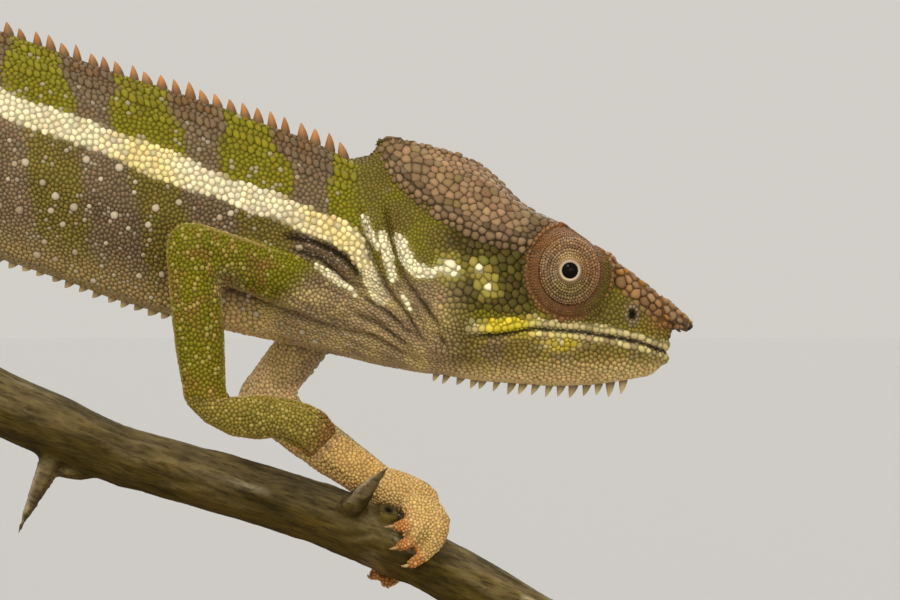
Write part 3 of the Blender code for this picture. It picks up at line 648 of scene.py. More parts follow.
def carve(points, normals):
    # folds, mouth, eye rings, nostril and the casque's edge are pressed into or raised on the skin
    x, y, z = points.T
    lift = np.zeros(len(points))
    trunkOrHead = onBody.astype(float)
    for line, (deep, wide) in foldLines.items():
        d, t = toLine(x, z, line)
        ends = ramp(t, 0.0, 0.16) * (1 - ramp(t, 0.84, 1.0))
        lift -= deep * 1.8 * hump(d, 0, wide) * ends * trunkOrHead
        lift += deep * 0.7 * hump(d, wide * 2.1, wide) * ends * trunkOrHead
    head = onHead.astype(float)
    d, t = toLine(x, z, mouthLine)
    side = ramp(np.abs(y), 0.3, 1.2) * 0.4 + 0.6
    lift -= 0.48 * hump(d, 0, 0.26) * head * side * (1 - ramp(t, 0.9, 1.0) * 0.6)
    lift += 0.30 * hump(d, 1.05, 0.55) * head * (1 - ramp(t, 0.92, 1.0))
    away = fromEye(x, z)
    outside = head * ramp(np.abs(y), 2.0, 4.0)
    lift += 0.38 * hump(away, 6.35, 0.5) * outside
    lift -= 0.22 * hump(away, 7.3, 0.45) * outside
    d = np.hypot((x - nostrilAt[0]) / 0.45, (z - nostrilAt[1]) / 0.75)
    lift += head * (0.28 * hump(d, 1.75, 0.6) - 0.85 * hump(d, 0, 1))
    d, t = toLine(x, z, casqueCrest)
    lift += head * 0.45 * hump(d, 0, 0.8) * ramp(t, 0, 0.15)
    lift -= head * 0.20 * hump(d, 1.9, 0.8)
    wrinkles = np.sin((z + 0.42 * x) * 2 * math.pi / 1.25 + 1.5 * wander(points, 5.0, 9))
    lift += 0.11 * wrinkles * neckShare(points)
    lift += 0.16 * wander(points, 7.0, 3) * onBody + 0.07 * wander(points, 2.6, 5)
    lift -= 0.22 * trunkLike * ramp(np.abs(y), 5, 8) * np.maximum(
        0, np.sin((x + 0.45 * z) * 2 * math.pi / 8.2)) * ramp(-x, -50, -20)
    return points + normals * lift[:, None]


def unwrapSkin(piece, points):
    # an unwrap of the skin's own shape, kept as its bake map and used for the scales' places too
    setPoints(piece.data, points)
    piece.data.update()
    bpy.context.view_layer.objects.active = piece
    piece.select_set(True)
    bpy.ops.object.mode_set(mode="EDIT")
    bpy.ops.mesh.select_all(action="SELECT")
    bpy.ops.uv.smart_project(angle_limit=math.radians(72), island_margin=0.003)
    bpy.ops.object.mode_set(mode="OBJECT")
    piece.select_set(False)
    layer = piece.data.uv_layers[0]
    layer.name = "OFBake"
    return readAll(layer.data, "uv", 2).reshape(-1, 3, 2).astype(float)


skinUv = unwrapSkin(skin, base)
print("skin unwrapped")
body = carve(base, normalsOf(base, tris))
body = evened(body, pairs, np.ones(len(body)) * 0.6, 1)
bodyNormals = normalsOf(body, tris)
skinTree = BVHTree.FromPolygons(body.tolist(), tris.tolist())
trunkFaces = np.flatnonzero(onBody[tris].all(axis=1))
trunkTree = BVHTree.FromPolygons(body.tolist(), tris[trunkFaces].tolist())
print("skin carved")


# markings: colours worked out from the place on the animal, the same for skin and scales

hues = {
    "green": (0.215, 0.185, 0.008), "deepGreen": (0.130, 0.110, 0.008), "olive": (0.165, 0.125, 0.022),
    "greyBrown": (0.190, 0.130, 0.072), "darkBrown": (0.115, 0.076, 0.040), "rust": (0.330, 0.150, 0.040),
    "cream": (0.880, 0.780, 0.500), "butter": (0.860, 0.660, 0.230), "pearl": (0.560, 0.480, 0.340),
    "belly": (0.400, 0.285, 0.110), "tan": (0.560, 0.355, 0.130), "orange": (0.460, 0.200, 0.030),
    "toe": (0.520, 0.185, 0.045), "casque": (0.300, 0.185, 0.098), "orbit": (0.220, 0.100, 0.036),
    "snout": (0.310, 0.155, 0.065), "throat": (0.360, 0.260, 0.110), "lip": (0.640, 0.530, 0.240),
    "yellow": (0.720, 0.560, 0.035), "jaw": (0.300, 0.215, 0.048), "leg": (0.190, 0.170, 0.006),
    "dark": (0.030, 0.020, 0.014), "spine": (0.500, 0.200, 0.060), "bone": (0.620, 0.480, 0.230),
    "cheek": (0.105, 0.078, 0.014),
}
hues = {name: np.array(tone) for name, tone in hues.items()}

bars = {"centre": 27.3, "pitch": 15.4, "lean": 0.2}  # x of one brown bar, spacing, lean with height


def barShares(p, down, high):
    # share of the brown bars, and of the green bands between them
    leaning = p[:, 0] - bars["lean"] * (high - p[:, 2])
    phase = (leaning - bars["centre"]) / bars["pitch"]
    off = np.abs(phase - np.round(phase)) * bars["pitch"]
    wobble = wander(p, 2.2, 1) * 0.9 + wander(p, 6.0, 2) * 0.8
    half = 4.1 - 1.7 * ramp(down, 0.2, 0.5) + 0.9 * ramp(down, 0.7, 1.0)
    brown = 1 - ramp(off + wobble * 0.7, half - 0.45, half + 0.45)
    strong = mottling(p * (1, 0, 0.2), 15.0, 11, -0.6, 0.35)
    band = (1 - ramp(bars["pitch"] / 2 - off + wobble, 2.8, 4.6)) * (0.35 + 0.65 * strong)
    return brown, band


def upperPaint(p, down, brown):
    # above the stripe: green, with brown bars that darken and redden toward the back
    tone = mixTo(mixTo(hues["green"], hues["deepGreen"], mottling(p, 4.0, 7, 0.1, 1.0) * 0.5),
                 mixTo(hues["greyBrown"], hues["rust"], mottling(p, 1.6, 9, 0.45, 0.9) * 0.35), brown)
    tone = mixTo(tone, hues["darkBrown"] * 1.15, brown * (1 - ramp(down, 0.25, 0.55)) * 0.55)
    reddish = brown * (1 - ramp(down, 0.1, 0.42)) * mottling(p, 1.3, 10, -0.6, 0.5)
    return mixTo(tone, hues["rust"] * 0.55, reddish * 0.6)


def lowerPaint(p, share, band):
    # below the stripe: grey brown with olive bands, pale toward the belly and the neck, with painted light
    # brightening the chest and the neck's under side
    x, z = p[:, 0], p[:, 2]
    rear = 1 - ramp(x, 24, 36)
    tone = mixTo(hues["greyBrown"] * (0.92 + 0.38 * rear)[:, None],
                 hues["olive"] * (1.05 + 0.2 * rear)[:, None], band * 0.95)
    tone = mixTo(tone, hues["darkBrown"], mottling(p, 5.0, 13, 0.2, 0.9) * 0.45)
    tone = mixTo(tone, hues["belly"], (1 - ramp(share, 0.04, 0.24)) * 0.85)
    # painted light: the chest below the near arm is made brighter, against the shade it lies in
    tone = tone * (1 + 0.7 * ramp(x, 42, 50) * (1 - ramp(x, 56, 62)) * (1 - ramp(z, 93, 99)))[:, None]
    neck = ramp(x, 52, 58) * (1 - ramp(z, 92, 96.5))
    # the neck's under side is pale and mottled, and brightened further as painted light against the shade
    # below the jaw
    mottled = mixTo(hues["greyBrown"] * 1.9, hues["throat"] * 1.45, mottling(p, 2.4, 14, -0.5, 0.7))
    return mixTo(tone, mottled, neck * 0.85)


def stripePaint(paint, p, away):
    # the pale stripe, yellower in places and fading toward the hips
    x, y = p[:, 0], p[:, 1]
    wide = 1.95 + 0.55 * wander(p * (1, 0, 1), 4.5, 15) - 1.1 * ramp(-x, 25, 50)
    wide = wide * (1 - 0.35 * ramp(x, 66, 70))
    sunny = hump(x, 36.5, 5.5) + hump(x, 63.0, 5.5) + hump(x, -8, 7)
    cream = mixTo(hues["cream"], hues["butter"], np.clip(sunny + 0.35 * wander(p, 1.6, 17), 0, 1) * 0.8)
    white = (1 - ramp(away, wide - 0.15, wide + 0.2)) * (1 - ramp(-x, 34, 52) * 0.8)
    return mixTo(paint, cream, white * ramp(np.abs(y), 1.5, 3.0))


def paintedFoldShade(p):
    # painted shade in the skin's folds: how dark they are
    fold = np.zeros(len(p))
    for line, (deep, wide) in foldLines.items():
        d, t = toLine(p[:, 0], p[:, 2], line)
        fold = np.maximum(fold, deep * hump(d / wide, 0, 0.8) * ramp(t, 0, 0.15) * (1 - ramp(t, 0.85, 1)))
    return 0.95 * np.clip(fold, 0, 0.8) * ramp(np.abs(p[:, 1]), 2, 4)


def bodyPaint(p):
    x, y, z = p.T
    high, low = outlineAt(x)
    stripeZ = heightAt(x, stripe)
    down = np.clip((high - z) / np.maximum(high - stripeZ, 1), 0, 3)
    brown, band = barShares(p, down, high)
    lower = lowerPaint(p, (z - low) / np.maximum(high - low, 1), band)
    paint = np.where((z < stripeZ)[:, None], lower, upperPaint(p, down, brown))
    paint = stripePaint(paint, p, toLine(x, z, stripe)[0])
    marks, yellow = paleMarks(p)
    paint = mixTo(paint, hues["green"] * 1.1, yellow * 0.5)
    paint = paint * (1 - paintedFoldShade(p))[:, None]
    return mixTo(paint, hues["cream"], marks * ramp(np.abs(y), 2.0, 3.0))


def headPaint(p):
    x, y, z = p.T
    blotch = wander(p, 3.2, 21)
    paint = mixTo(hues["olive"], hues["green"] * 0.95, ramp(blotch, -0.2, 0.8))
    paint = mixTo(paint, hues["greyBrown"], mottling(p, 2.3, 23, 0.25, 0.8) * 0.45)
    away = fromEye(x, z)
    cheek = ramp(x, 78, 81) * ramp(z, 89.5, 91.5) * (1 - ramp(x, 91, 94))
    mottled = mixTo(hues["cheek"], hues["greyBrown"] * 0.8, mottling(p, 1.5, 25, 0.1, 0.9) * 0.7)
    mottled = mixTo(mottled * 0.63, hues["green"] * 0.44, mottling(p, 2.4, 26, 0.2, 0.8) * 0.7)
    paint = mixTo(paint, mottled, cheek * 0.95)
    crestZ = heightAt(x, casqueCrest + headTop)
    above = ramp(z - crestZ, -1.4, 0.4) * ramp(x, 69.0, 71.5)
    dull = mixTo(hues["casque"], hues["olive"] * 1.25, mottling(p, 1.9, 27, 0.15, 0.9) * 0.5)
    dull = mixTo(dull, hues["rust"] * 0.75, mottling(p, 1.4, 28, 0.5, 1.0) * 0.4)
    dull = mixTo(dull, hues["casque"] * 0.42, 1 - ramp(z - crestZ, 0.3, 2.6))
    dull = dull * (1 - 0.30 * ramp(x, 88, 93))[:, None]
    paint = mixTo(paint, dull * (1 + 0.15 * blotch)[:, None], above)
    reach = 6.4 - 1.3 * ramp(x, eyeAt[0] + 2, eyeAt[0] + 5)
    ring = hues["orbit"] * (1 + 0.2 * wander(p, 1.2, 29))[:, None]
    paint = mixTo(paint, ring, 1 - ramp(away, reach, reach + 1))
    ridge = toLine(x, z, canthusSide)[0]
    snout = mixTo(hues["snout"], hues["greyBrown"] * 1.2, mottling(p, 1.3, 30, -0.2, 0.7) * 0.6)
    paint = mixTo(paint, snout, 1 - ramp(ridge, 1.3, 2.6))
    paint = lipPaint(jawPaint(paint, p, blotch), p)
    white, yellow = paleMarks(p)
    paint = mixTo(paint, mixTo(hues["green"] * 1.1, hues["butter"], 0.2), yellow * 0.65)
    paint = mixTo(paint, hues["cream"], white * ramp(np.abs(y), 2, 3))
    d = np.hypot((x - nostrilAt[0]) / 0.45, (z - nostrilAt[1]) / 0.7)
    paint = mixTo(paint, hues["greyBrown"] * 1.3, hump(d, 2.0, 0.8) * 0.8)
    # painted shade: the carved nostril's pit is painted dark
    paint = mixTo(paint, hues["dark"] * 0.5, 1 - ramp(d, 0.8, 1.3))
    # painted shade: a dark line along the carved mouth, in the slit between the lips
    mouth = toLine(x, z, mouthLine)[0]
    return mixTo(paint, hues["dark"], hump(mouth, 0, 0.25) * ramp(x, 82.5, 84.5))


def jawPaint(paint, p, blotch):
    # lower jaw, throat and the pale corner behind the jaw; throat and corner are painted brighter than their
    # own colour, as painted light on the under side
    x, z = p[:, 0], p[:, 2]
    jaw = ramp(heightAt(x, mouthLine) - z, 0, 1)
    chinTone = mixTo(hues["jaw"], hues["greyBrown"] * 1.35, mottling(p, 2.4, 32, 0.0, 0.6) * 0.7)
    paint = mixTo(paint, chinTone * (1 + 0.2 * blotch)[:, None], jaw * ramp(x, 80, 86))
    under = 1 - ramp(z - (80.6 + 0.02 * (x - 80)), 0.0, 3.2)
    # painted light: the throat's under side at twice its tone, against the shade below the head
    paint = mixTo(paint, hues["throat"] * 2.1, under * 0.9)
    back = 1 - ramp(x, 77, 84)
    low = 1 - ramp(z, 92, 98)
    # the corner behind the jaw: pale mottling brightened as painted light
    mottled = mixTo(hues["greyBrown"] * 2.05, hues["throat"] * 1.6, ramp(blotch, -0.3, 0.8))
    return mixTo(paint, mottled, back * low * 0.85)


def lipPaint(paint, p):
    # pale lips with grey breaks, the yellow patch below the eye, the rusty chin and snout tip
    x, z = p[:, 0], p[:, 2]
    mouth, mouthZ = toLine(x, z, mouthLine)[0], heightAt(x, mouthLine)
    rough = 0.35 * wander(p, 1.1, 83)
    band = np.where(z > mouthZ, 1.35 + 0.75 * hump(x, 87.5, 5.0), 0.95)
    lips = (1 - ramp(mouth + rough, band - 0.3, band + 0.3)) * ramp(x, 81.5, 84.0)
    lips = lips * np.where(z > mouthZ, 1.0, ramp(x, 88.0, 93.0))
    lip = mixTo(hues["lip"], hues["yellow"], ramp(x, 83, 86) * (1 - ramp(x, 90.0, 93.5)))
    grey = ramp(np.sin(x * 2 * math.pi / 3.1) + wander(p, 1.6, 85), 0.3, 0.9) * ramp(x, 91, 94)
    lip = mixTo(lip, hues["greyBrown"] * 1.4, grey * np.where(z > mouthZ, 0.45, 0.8))
    paint = mixTo(paint, lip, lips * 0.95)
    patch = np.exp(-(((x - 95.6) / 3.0) ** 2 + ((z - 85.7) / 1.25) ** 2) ** 2)
    patch *= mottling(p, 1.0, 34, -1.0, -0.3)
    paint = mixTo(paint, mixTo(hues["yellow"], hues["lip"], mottling(p, 1.2, 36, 0, 0.6)), patch * 0.85)
    chin = np.exp(-(((x - 112.6) / 1.1) ** 2 + ((z - 82.6) / 1.0) ** 2))
    paint = mixTo(paint, hues["rust"] * 0.6, chin * 0.9)
    tipRust = np.exp(-(((x - 110.4) / 2.3) ** 2 + ((z - 88.6) / 1.5) ** 2))
    return mixTo(paint, hues["rust"] * 0.9, tipRust * 0.75)


def limbJoints():
    # root, bend and end of each limb, its side and kind, from the CAD nodes' own ends
    joints = {}
    for s, sign in (("left", 1), ("right", -1)):
        for upper, lower, last in (("upper_arm", "forearm", "hand"), ("thigh", "shank", "foot")):
            a, b = pointsOf(nodes[f"{upper}_{s}"].data), pointsOf(nodes[f"{lower}_{s}"].data)
            c = pointsOf(nodes[f"{last}_{s}"].data)
            root = a[np.argsort(np.abs(a[:, 1]))[:12]].mean(axis=0)
            near = np.argsort(((a[:, None] - b.mean(axis=0)) ** 2).sum(axis=2).ravel())[:14]
            bend = (a[near].mean(axis=0) + b[np.argsort(((b - a.mean(axis=0)) ** 2).sum(axis=1))[:14]]
                    .mean(axis=0)) / 2
            end = b[np.argsort(((b - c.mean(axis=0)) ** 2).sum(axis=1))[:14]].mean(axis=0)
            for name in (upper, lower, last):
                joints[f"{name}_{s}"] = (root, bend, end, sign, upper)
    return joints


limbs = limbJoints()


def limbPaint(p, n, name):
    bend, end, sign, kind = limbs[name][1:]
    inner = ramp(-n[:, 1] * sign, -0.35, 0.45)
    mottle, fine = wander(p, 3.0, 31), wander(p, 1.3, 33)
    outer = mixTo(hues["leg"], hues["olive"], ramp(mottle, 0.2, 0.9) * 0.6)
    fromBend = np.linalg.norm(p - bend, axis=1)
    band = hump(fromBend, 7.5, 1.6) + hump(fromBend, 15.5, 1.5)
    outer = mixTo(outer, hues["rust"] * 0.85, band * ramp(fine, -0.3, 0.7) * 0.6)
    outer = mixTo(outer, hues["greyBrown"] * 1.2, (1 - ramp(fromBend, 2.5, 5.0)) * 0.45)
    outer = mixTo(outer, hues["rust"] * 0.8, (1 - ramp(fromBend, 4.0, 8.0)) * ramp(fine, 0.0, 0.7) * 0.6)
    # the inner side's pale colour is its own; its raised brightness is painted light against the shade next
    # to the body
    pale = mixTo(hues["tan"] * 1.5, hues["belly"] * 1.5, ramp(mottle, -0.3, 0.7))
    # painted light: the upper arm's inner side is pushed almost to white peach, against the shade under the
    # belly
    if name.startswith("upper_arm"):
        pale = mixTo(pale, (1.0, 0.70, 0.36), 0.95)
    paint = mixTo(outer, pale, inner * 0.9)
    last = name.startswith(("hand", "foot"))
    low = name.startswith(("forearm", "shank"))
    toEnd = np.linalg.norm(p - end, axis=1)
    warm = 0.25 if name.endswith("right") and kind == "upper_arm" else 1.0
    if low:
        paint = mixTo(paint, hues["orange"], (1 - ramp(toEnd, 3.0, 11.0)) * 0.35 * warm)
    if last:
        palm = mixTo(hues["tan"] * 1.15, hues["orange"], ramp(mottle, 0.1, 1.1) * 0.4)
        paint = mixTo(paint, palm, warm * 0.85)
        paint = mixTo(paint, hues["olive"] * 1.6, mottling(p, 2.2, 37, 0.2, 0.8) * 0.25)
        if warm == 1:
            claws = [pointsOf(nodes[c].data).mean(axis=0) for c in nodes if c.startswith("claw_" + name)]
            gap = np.min([np.linalg.norm(p - c, axis=1) for c in claws], axis=0) + wander(p, 1.5, 35) * 0.6
            paint = mixTo(paint, hues["toe"], (1 - ramp(gap, 2.8, 4.6)) * 0.85)
        else:
            paint = mixTo(paint, hues["rust"] * 0.75, ramp(toEnd, 12.5, 16.0) * 0.9)
        paint = mixTo(paint, hues["darkBrown"], ramp(fine, 0.45, 0.9) * 0.3)
    return paint


# the coil's middle, its first and last radius, turns, the length before it, the bands' spacing
tail = {"centre": (-114.0, 114.5), "outer": 26.5, "inner": 7.0, "turns": 1.5, "straight": 45.0,
        "pitch": 14.5}


def tailShare(p):
    # length along the tail, and how far a point lies toward its under side
    x, z = p[:, 0], p[:, 2]
    cx, cz = tail["centre"]
    gone = (np.arctan2(z - cz, x - cx) - math.pi / 2) % (2 * math.pi)
    r = np.hypot(x - cx, z - cz)
    best, at, low = np.full(len(p), 1e9), np.zeros(len(p)), np.zeros(len(p))
    for lap in (0, 1):
        total = gone + lap * 2 * math.pi
        ideal = tail["outer"] + (tail["inner"] - tail["outer"]) * total / (tail["turns"] * 2 * math.pi)
        off = np.where(total < tail["turns"] * 2 * math.pi + 0.4, np.abs(r - ideal), 1e8)
        at = np.where(off < best, tail["straight"] + total * (tail["outer"] + ideal) / 2, at)
        low = np.where(off < best, ramp(ideal - r, -1, 3), low)
        best = np.minimum(best, off)
    straight = (x > cx + 12) & (z > 128)
    return np.where(straight, -52.4 - x, at), np.where(straight, ramp(141.5 - z, -1, 4), low)


def tailPaint(p):
    # bands across the tail at even steps of its length
    steps, share = tailShare(p)
    phase = (steps + 3.0) / tail["pitch"]
    off = np.abs(phase - np.round(phase)) * tail["pitch"]
    dark = 1 - ramp(off + wander(p, 2.4, 41) * 1.2, 3.2, 4.6)
    green = mixTo(hues["green"] * 0.9, hues["olive"], mottling(p, 4.0, 43, -0.2, 0.8))
    return mixTo(mixTo(green, hues["greyBrown"], dark), hues["belly"] * 0.85, share * 0.45)


def paintAt(p, n, regions):
    paint = bodyPaint(p)
    head = headPaint(p)
    paint = mixTo(paint, head, ramp(p[:, 0] + 0.25 * (p[:, 2] - 95), 68.2, 71.5))
    for k, name in enumerate(flesh):
        here = np.flatnonzero(regions == k)
        if not len(here):
            continue
        if name in limbs:
            made = limbPaint(p[here], n[here], name)
            fromRoot = np.linalg.norm(p[here] - limbs[name][0], axis=1)
            paint[here] = mixTo(paint[here], made, ramp(fromRoot, 6.5, 10.3))
        elif name.startswith("tail"):
            made = tailPaint(p[here])
            paint[here] = mixTo(paint[here], made, ramp(-p[here, 0], 53, 62))
    return paint


# seeds: where the scales may stand, strewn over the skin by Geometry Nodes

def nodeTree(name, sockets):
    tree = bpy.data.node_groups.new(name, "GeometryNodeTree")
    for label, kind, value in sockets:
        socket = tree.interface.new_socket(label, in_out="INPUT", socket_type=kind)
        if value is not None:
            socket.default_value = value
    tree.interface.new_socket("Geometry", in_out="OUTPUT", socket_type="NodeSocketGeometry")
    return tree, tree.nodes.new("NodeGroupInput").outputs, tree.nodes.new("NodeGroupOutput").inputs


def setInputs(modifier, **values):
    for item in modifier.node_group.interface.items_tree:
        if item.in_out == "INPUT" and item.name.replace(" ", "_") in values:
            modifier[item.identifier] = values[item.name.replace(" ", "_")]


def seedTree():
    tree, given, result = nodeTree("strew_seeds", [
        ("Geometry", "NodeSocketGeometry", None), ("Least gap", "NodeSocketFloat", 0.0004),
        ("Density", "NodeSocketFloat", 1e7), ("Seed", "NodeSocketInt", 3)])
    strew = tree.nodes.new("GeometryNodeDistributePointsOnFaces")
    strew.distribute_method = "POISSON"
    for label, socket in (("Geometry", "Mesh"), ("Least gap", "Distance Min"),
                          ("Density", "Density Max"), ("Seed", "Seed")):
        tree.links.new(given[label], strew.inputs[socket])
    turned = tree.nodes.new("GeometryNodePointsToVertices")
    tree.links.new(strew.outputs["Points"], turned.inputs[0])
    tree.links.new(turned.outputs[0], result[0])
    return tree


def strewSeeds(gap, density):
    mesh = bpy.data.meshes.new_from_object(skin)
    setPoints(mesh, body)
    carrier = addPiece("seed_bed", mesh)
    strew = carrier.modifiers.new("strew", "NODES")
    strew.node_group = seedTree()
    setInputs(strew, Least_gap=gap * mm, Density=density, Seed=3)
    bakeModifiers(carrier)
    seeds = pointsOf(carrier.data)
    drop(carrier)
    return seeds


# scales: every scale has a root, a radius, a height, a kind and a colour of its own

kinds = ("grain", "plate", "bead", "knob", "lip")
scaleLook = {  # height and sink as shares of the reach, width of the crown
    "grain": (0.52, 0.12, 0.76), "plate": (0.46, 0.12, 0.80), "bead": (0.60, 0.12, 0.76),
    "knob": (0.72, 0.12, 0.80), "lip": (0.50, 0.12, 0.82),
}


def grainRadius(p, regions):
    # half the spacing of the plain scales
    x, y, z = p.T
    stripeDist = toLine(x, z, stripe)[0]
    stripeZ = heightAt(x, stripe)
    size = 0.29 + 0.06 * ramp(z - stripeZ, 0, 1)
    size = np.where((stripeDist < 1.9) & (np.abs(y) > 1.5), 0.43, size)
    size = np.where(wander(p, 3.0, 51) > 0.55, size * 1.15, size)
    low = np.interp(x, lineAt, lineLow)
    size = np.where(z < low + 3, 0.32, size)
    size = np.where((z < low + 7) & (x > 38) & (x < 60), 0.37, size)
    for k, name in enumerate(flesh):
        if name in limbs:
            size = np.where(regions == k, 0.25 if name.startswith(("hand", "foot")) else 0.28, size)
        elif name.startswith("tail"):
            steps, low = tailShare(p)
            size = np.where(regions == k, np.interp(steps, [0, 60, 140, 200], [0.35, 0.33, 0.29, 0.23]), size)
    head = np.isin(regions, headLike)
    fine = np.full(len(p), 0.29)
    fine = np.where((x < 79) & (z > 94), 0.245, fine)
    crestZ = heightAt(x, casqueCrest)
    above = (z > crestZ + 0.4) & (x > 70.0) & (x < 95)
    fine = np.where(above, 0.60 + 0.20 * wander(p, 2.0, 53), fine)
    away = fromEye(x, z)
    cheek = (x > 78) & (x < 91.5) & (z > 90.5) & ~above & (away > 7.2)
    fine = np.where(cheek, 0.42 + 0.16 * ramp(x, 79, 86) + 0.16 * wander(p, 1.8, 55), fine)
    fine = np.where(away < 7.0, 0.26, fine)
    ridge = toLine(x, z, canthusSide)[0]
    fine = np.where((ridge < 2.2) & (away > 7.0), 0.50, fine)
    fine = np.where((z < 86) & (x > 80), 0.33, fine)
    size = np.where(head, fine, size * (1 - 0.15 * ramp(x, 60, 66) * (stripeDist > 2.0)))
    return np.where((neckShare(p) > 0.35) & np.isin(regions, bodyLike), 0.225, size)


placed = []  # scales that are placed by rule, before the plain ones fill the rest


def place(root, normal, radius, kind, tint=None, along=None, stretch=1.0):
    placed.append((root, normal, radius, kind, tint, along, stretch))


def ontoSkin(points):
    return np.array([skinTree.find_nearest(p)[0] for p in points.tolist()])


def skinFaces(points):
    return np.array([skinTree.find_nearest(p)[2] for p in points.tolist()])


def castFrom(x, z, side):
    hit = trunkTree.ray_cast((x, 40.0 * side, z), (0, -side, 0))
    if hit[0] is None:
        return None, None
    return np.array(hit[0]), smoothNormal(hit[0], trunkFaces[hit[2]])


def smoothNormal(at, face):
    corners = body[tris[face]]
    weight = 1 / (np.linalg.norm(corners - np.array(at), axis=1) + 1e-6)
    n = (bodyNormals[tris[face]] * weight[:, None]).sum(axis=0)
    return n / np.linalg.norm(n)


def nearSkin(point):
    hit = trunkTree.find_nearest(point)
    return np.array(hit[0]), smoothNormal(hit[0], trunkFaces[hit[2]])


def ridgeHeight(x, top=True):
    # the ridge line's height at x, read just beside the middle
    z = []
    for y in (-0.35, 0.35):
        hit = trunkTree.ray_cast((x, y, 200.0 if top else 0.0), (0, 0, -1 if top else 1))
        if hit[0] is not None:
            z.append(hit[0].z)
    return np.mean(z) if z else None


backRows = ((0.95, 0.50, 2.0), (2.85, 0.50, 2.0), (4.6, 0.46, 1.6))  # down from the ridge, radius, stretch


def placeBackRows():
    # three rows of tall scales on each side below the crest
    line = [(x, ridgeHeight(x)) for x in np.arange(-51.0, 66.4, 1.0)]
    line = [(x, z) for x, z in line if z]
    zs = np.array([z for x, z in line])
    zs = np.convolve(np.pad(zs, 3, mode="edge"), np.ones(7) / 7, "valid")
    path = np.stack([[x for x, z in line], zs], axis=1)
    spots = alongLine(path, 1.12)
    for side in (-1, 1):
        for row, (down, radius, stretch) in enumerate(backRows):
            for x, z in spots:
                at = x + 0.56 * (row % 2) - 0.25 * down + dice.normal(0, 0.1)
                ridge = np.interp(at, path[:, 0], path[:, 1])
                hit = castFrom(at, ridge - down * 0.98 + dice.normal(0, 0.1), side)
                if hit[0] is None or abs(hit[0][1]) > 9:
                    continue
                place(*hit, radius * dice.uniform(0.88, 1.08), "bead", None, (0.1, 0, -1), stretch)


cheekBeads = ((79.9, 96.9, 0.95), (84.1, 96.7, 0.50), (85.4, 93.8, 0.56))  # x, z, radius


def placeWhites():
    # round pale scales: scattered on the flank, and in streaks on the neck and cheek
    for side in (-1, 1):
        for row in range(11):
            for k in range(29):
                x = -48 + 4.0 * k + 2.0 * (row % 2) + dice.normal(0, 1.0)
                high, low = outlineAt(x)
                z = low + (high - low) * (0.08 + 0.08 * row) + dice.normal(0, 0.8)
                middle = heightAt(x, stripe)
                rare = 0.75 if z > middle else 0.2
                if z > middle + 3.8 or abs(z - middle) < 2.4 or x > 63 or dice.random() < rare:
                    continue
                hit = castFrom(x, z, side)
                if hit[0] is not None:
                    size = dice.choice([0.36, 0.46, 0.60], p=[0.45, 0.35, 0.20])
                    tone = mixTo(hues["pearl"], hues["greyBrown"] * 1.7, dice.uniform(0, 0.8))
                    place(*hit, size, "bead", tone)
        for x, z, radius in cheekBeads:
            hit = castFrom(x, z, side)
            place(*hit, radius, "bead", hues["cream"])
        for line, wide in streaks:
            for x, z in alongLine(line, 0.95):
                hit = castFrom(x + dice.normal(0, 0.3 * wide), z + dice.normal(0, 0.2), side)
                place(*hit, 0.50 * dice.uniform(0.8, 1.15), "bead")


def placeLips():
    # uneven blocks along the upper lip, smaller ones along the front of the lower lip
    for side in (-1, 1):
        x = 82.6
        while x < 113.2:
            radius = 0.52 * dice.uniform(0.75, 1.2)
            z = heightAt(x, mouthLine)
            for up in (1, -1):
                hit = castFrom(x, z + (0.26 + radius) * up, side)
                if hit[0] is None or (up < 0 and x < 91.5):
                    continue
                place(*hit, radius * (1.0 if up > 0 else 0.9), "lip", None, (0, 0, 1), 1.15)
                if up > 0 and x < 97 or up < 0 and 91 < x < 100:
                    hit = castFrom(x + 0.5, z + (0.9 + 2 * radius) * up, side)
                    place(*hit, 0.42 * dice.uniform(0.8, 1.2), "lip", None, (0, 0, 1), 1.1)
            x += radius * 1.9


hornTip = (  # x, distance out, z, colour and radius of the knobs on the snout's horns
    (112.6, 0.3, 89.6, hues["snout"] * 1.3, 0.85), (112.9, 0.9, 88.2, hues["snout"], 0.80),
    (113.9, 0.0, 89.5, hues["bone"] * 0.8, 0.85), (114.0, 1.1, 88.6, hues["dark"] * 3, 0.85),
    (115.2, 0.2, 89.2, hues["bone"], 0.95),
    (115.2, 0.6, 88.1, hues["dark"] * 1.5, 0.80), (114.0, -0.9, 88.5, hues["snout"], 0.8),
)


def placeCasqueKnobs(side):
    for x, z in alongLine(casqueCrest, 1.2):
        for lower, radius in ((0.0, 0.62), (-1.2, 0.48)):
            hit = castFrom(x + dice.normal(0, 0.15), z + lower + dice.normal(0, 0.12), side)
            tone = hues["casque"] * dice.uniform(0.5, 0.95)
            place(*hit, radius * dice.uniform(0.8, 1.15), "knob", tone)


def placeOrbitKnobs(side):
    for turn in np.radians(np.arange(-30, 150, 6.5)):
        x, z = eyeAt[0] + math.cos(turn) * 6.25, eyeAt[2] + math.sin(turn) * 6.95
        hit = castFrom(x, z, side)
        if hit[0] is not None and abs(hit[0][1]) > 1.5 and side * hit[1][1] > 0.35:
            tone = hues["orbit"] * dice.uniform(0.9, 1.5)
            place(*hit, 0.34 * dice.uniform(0.85, 1.2), "knob", tone)


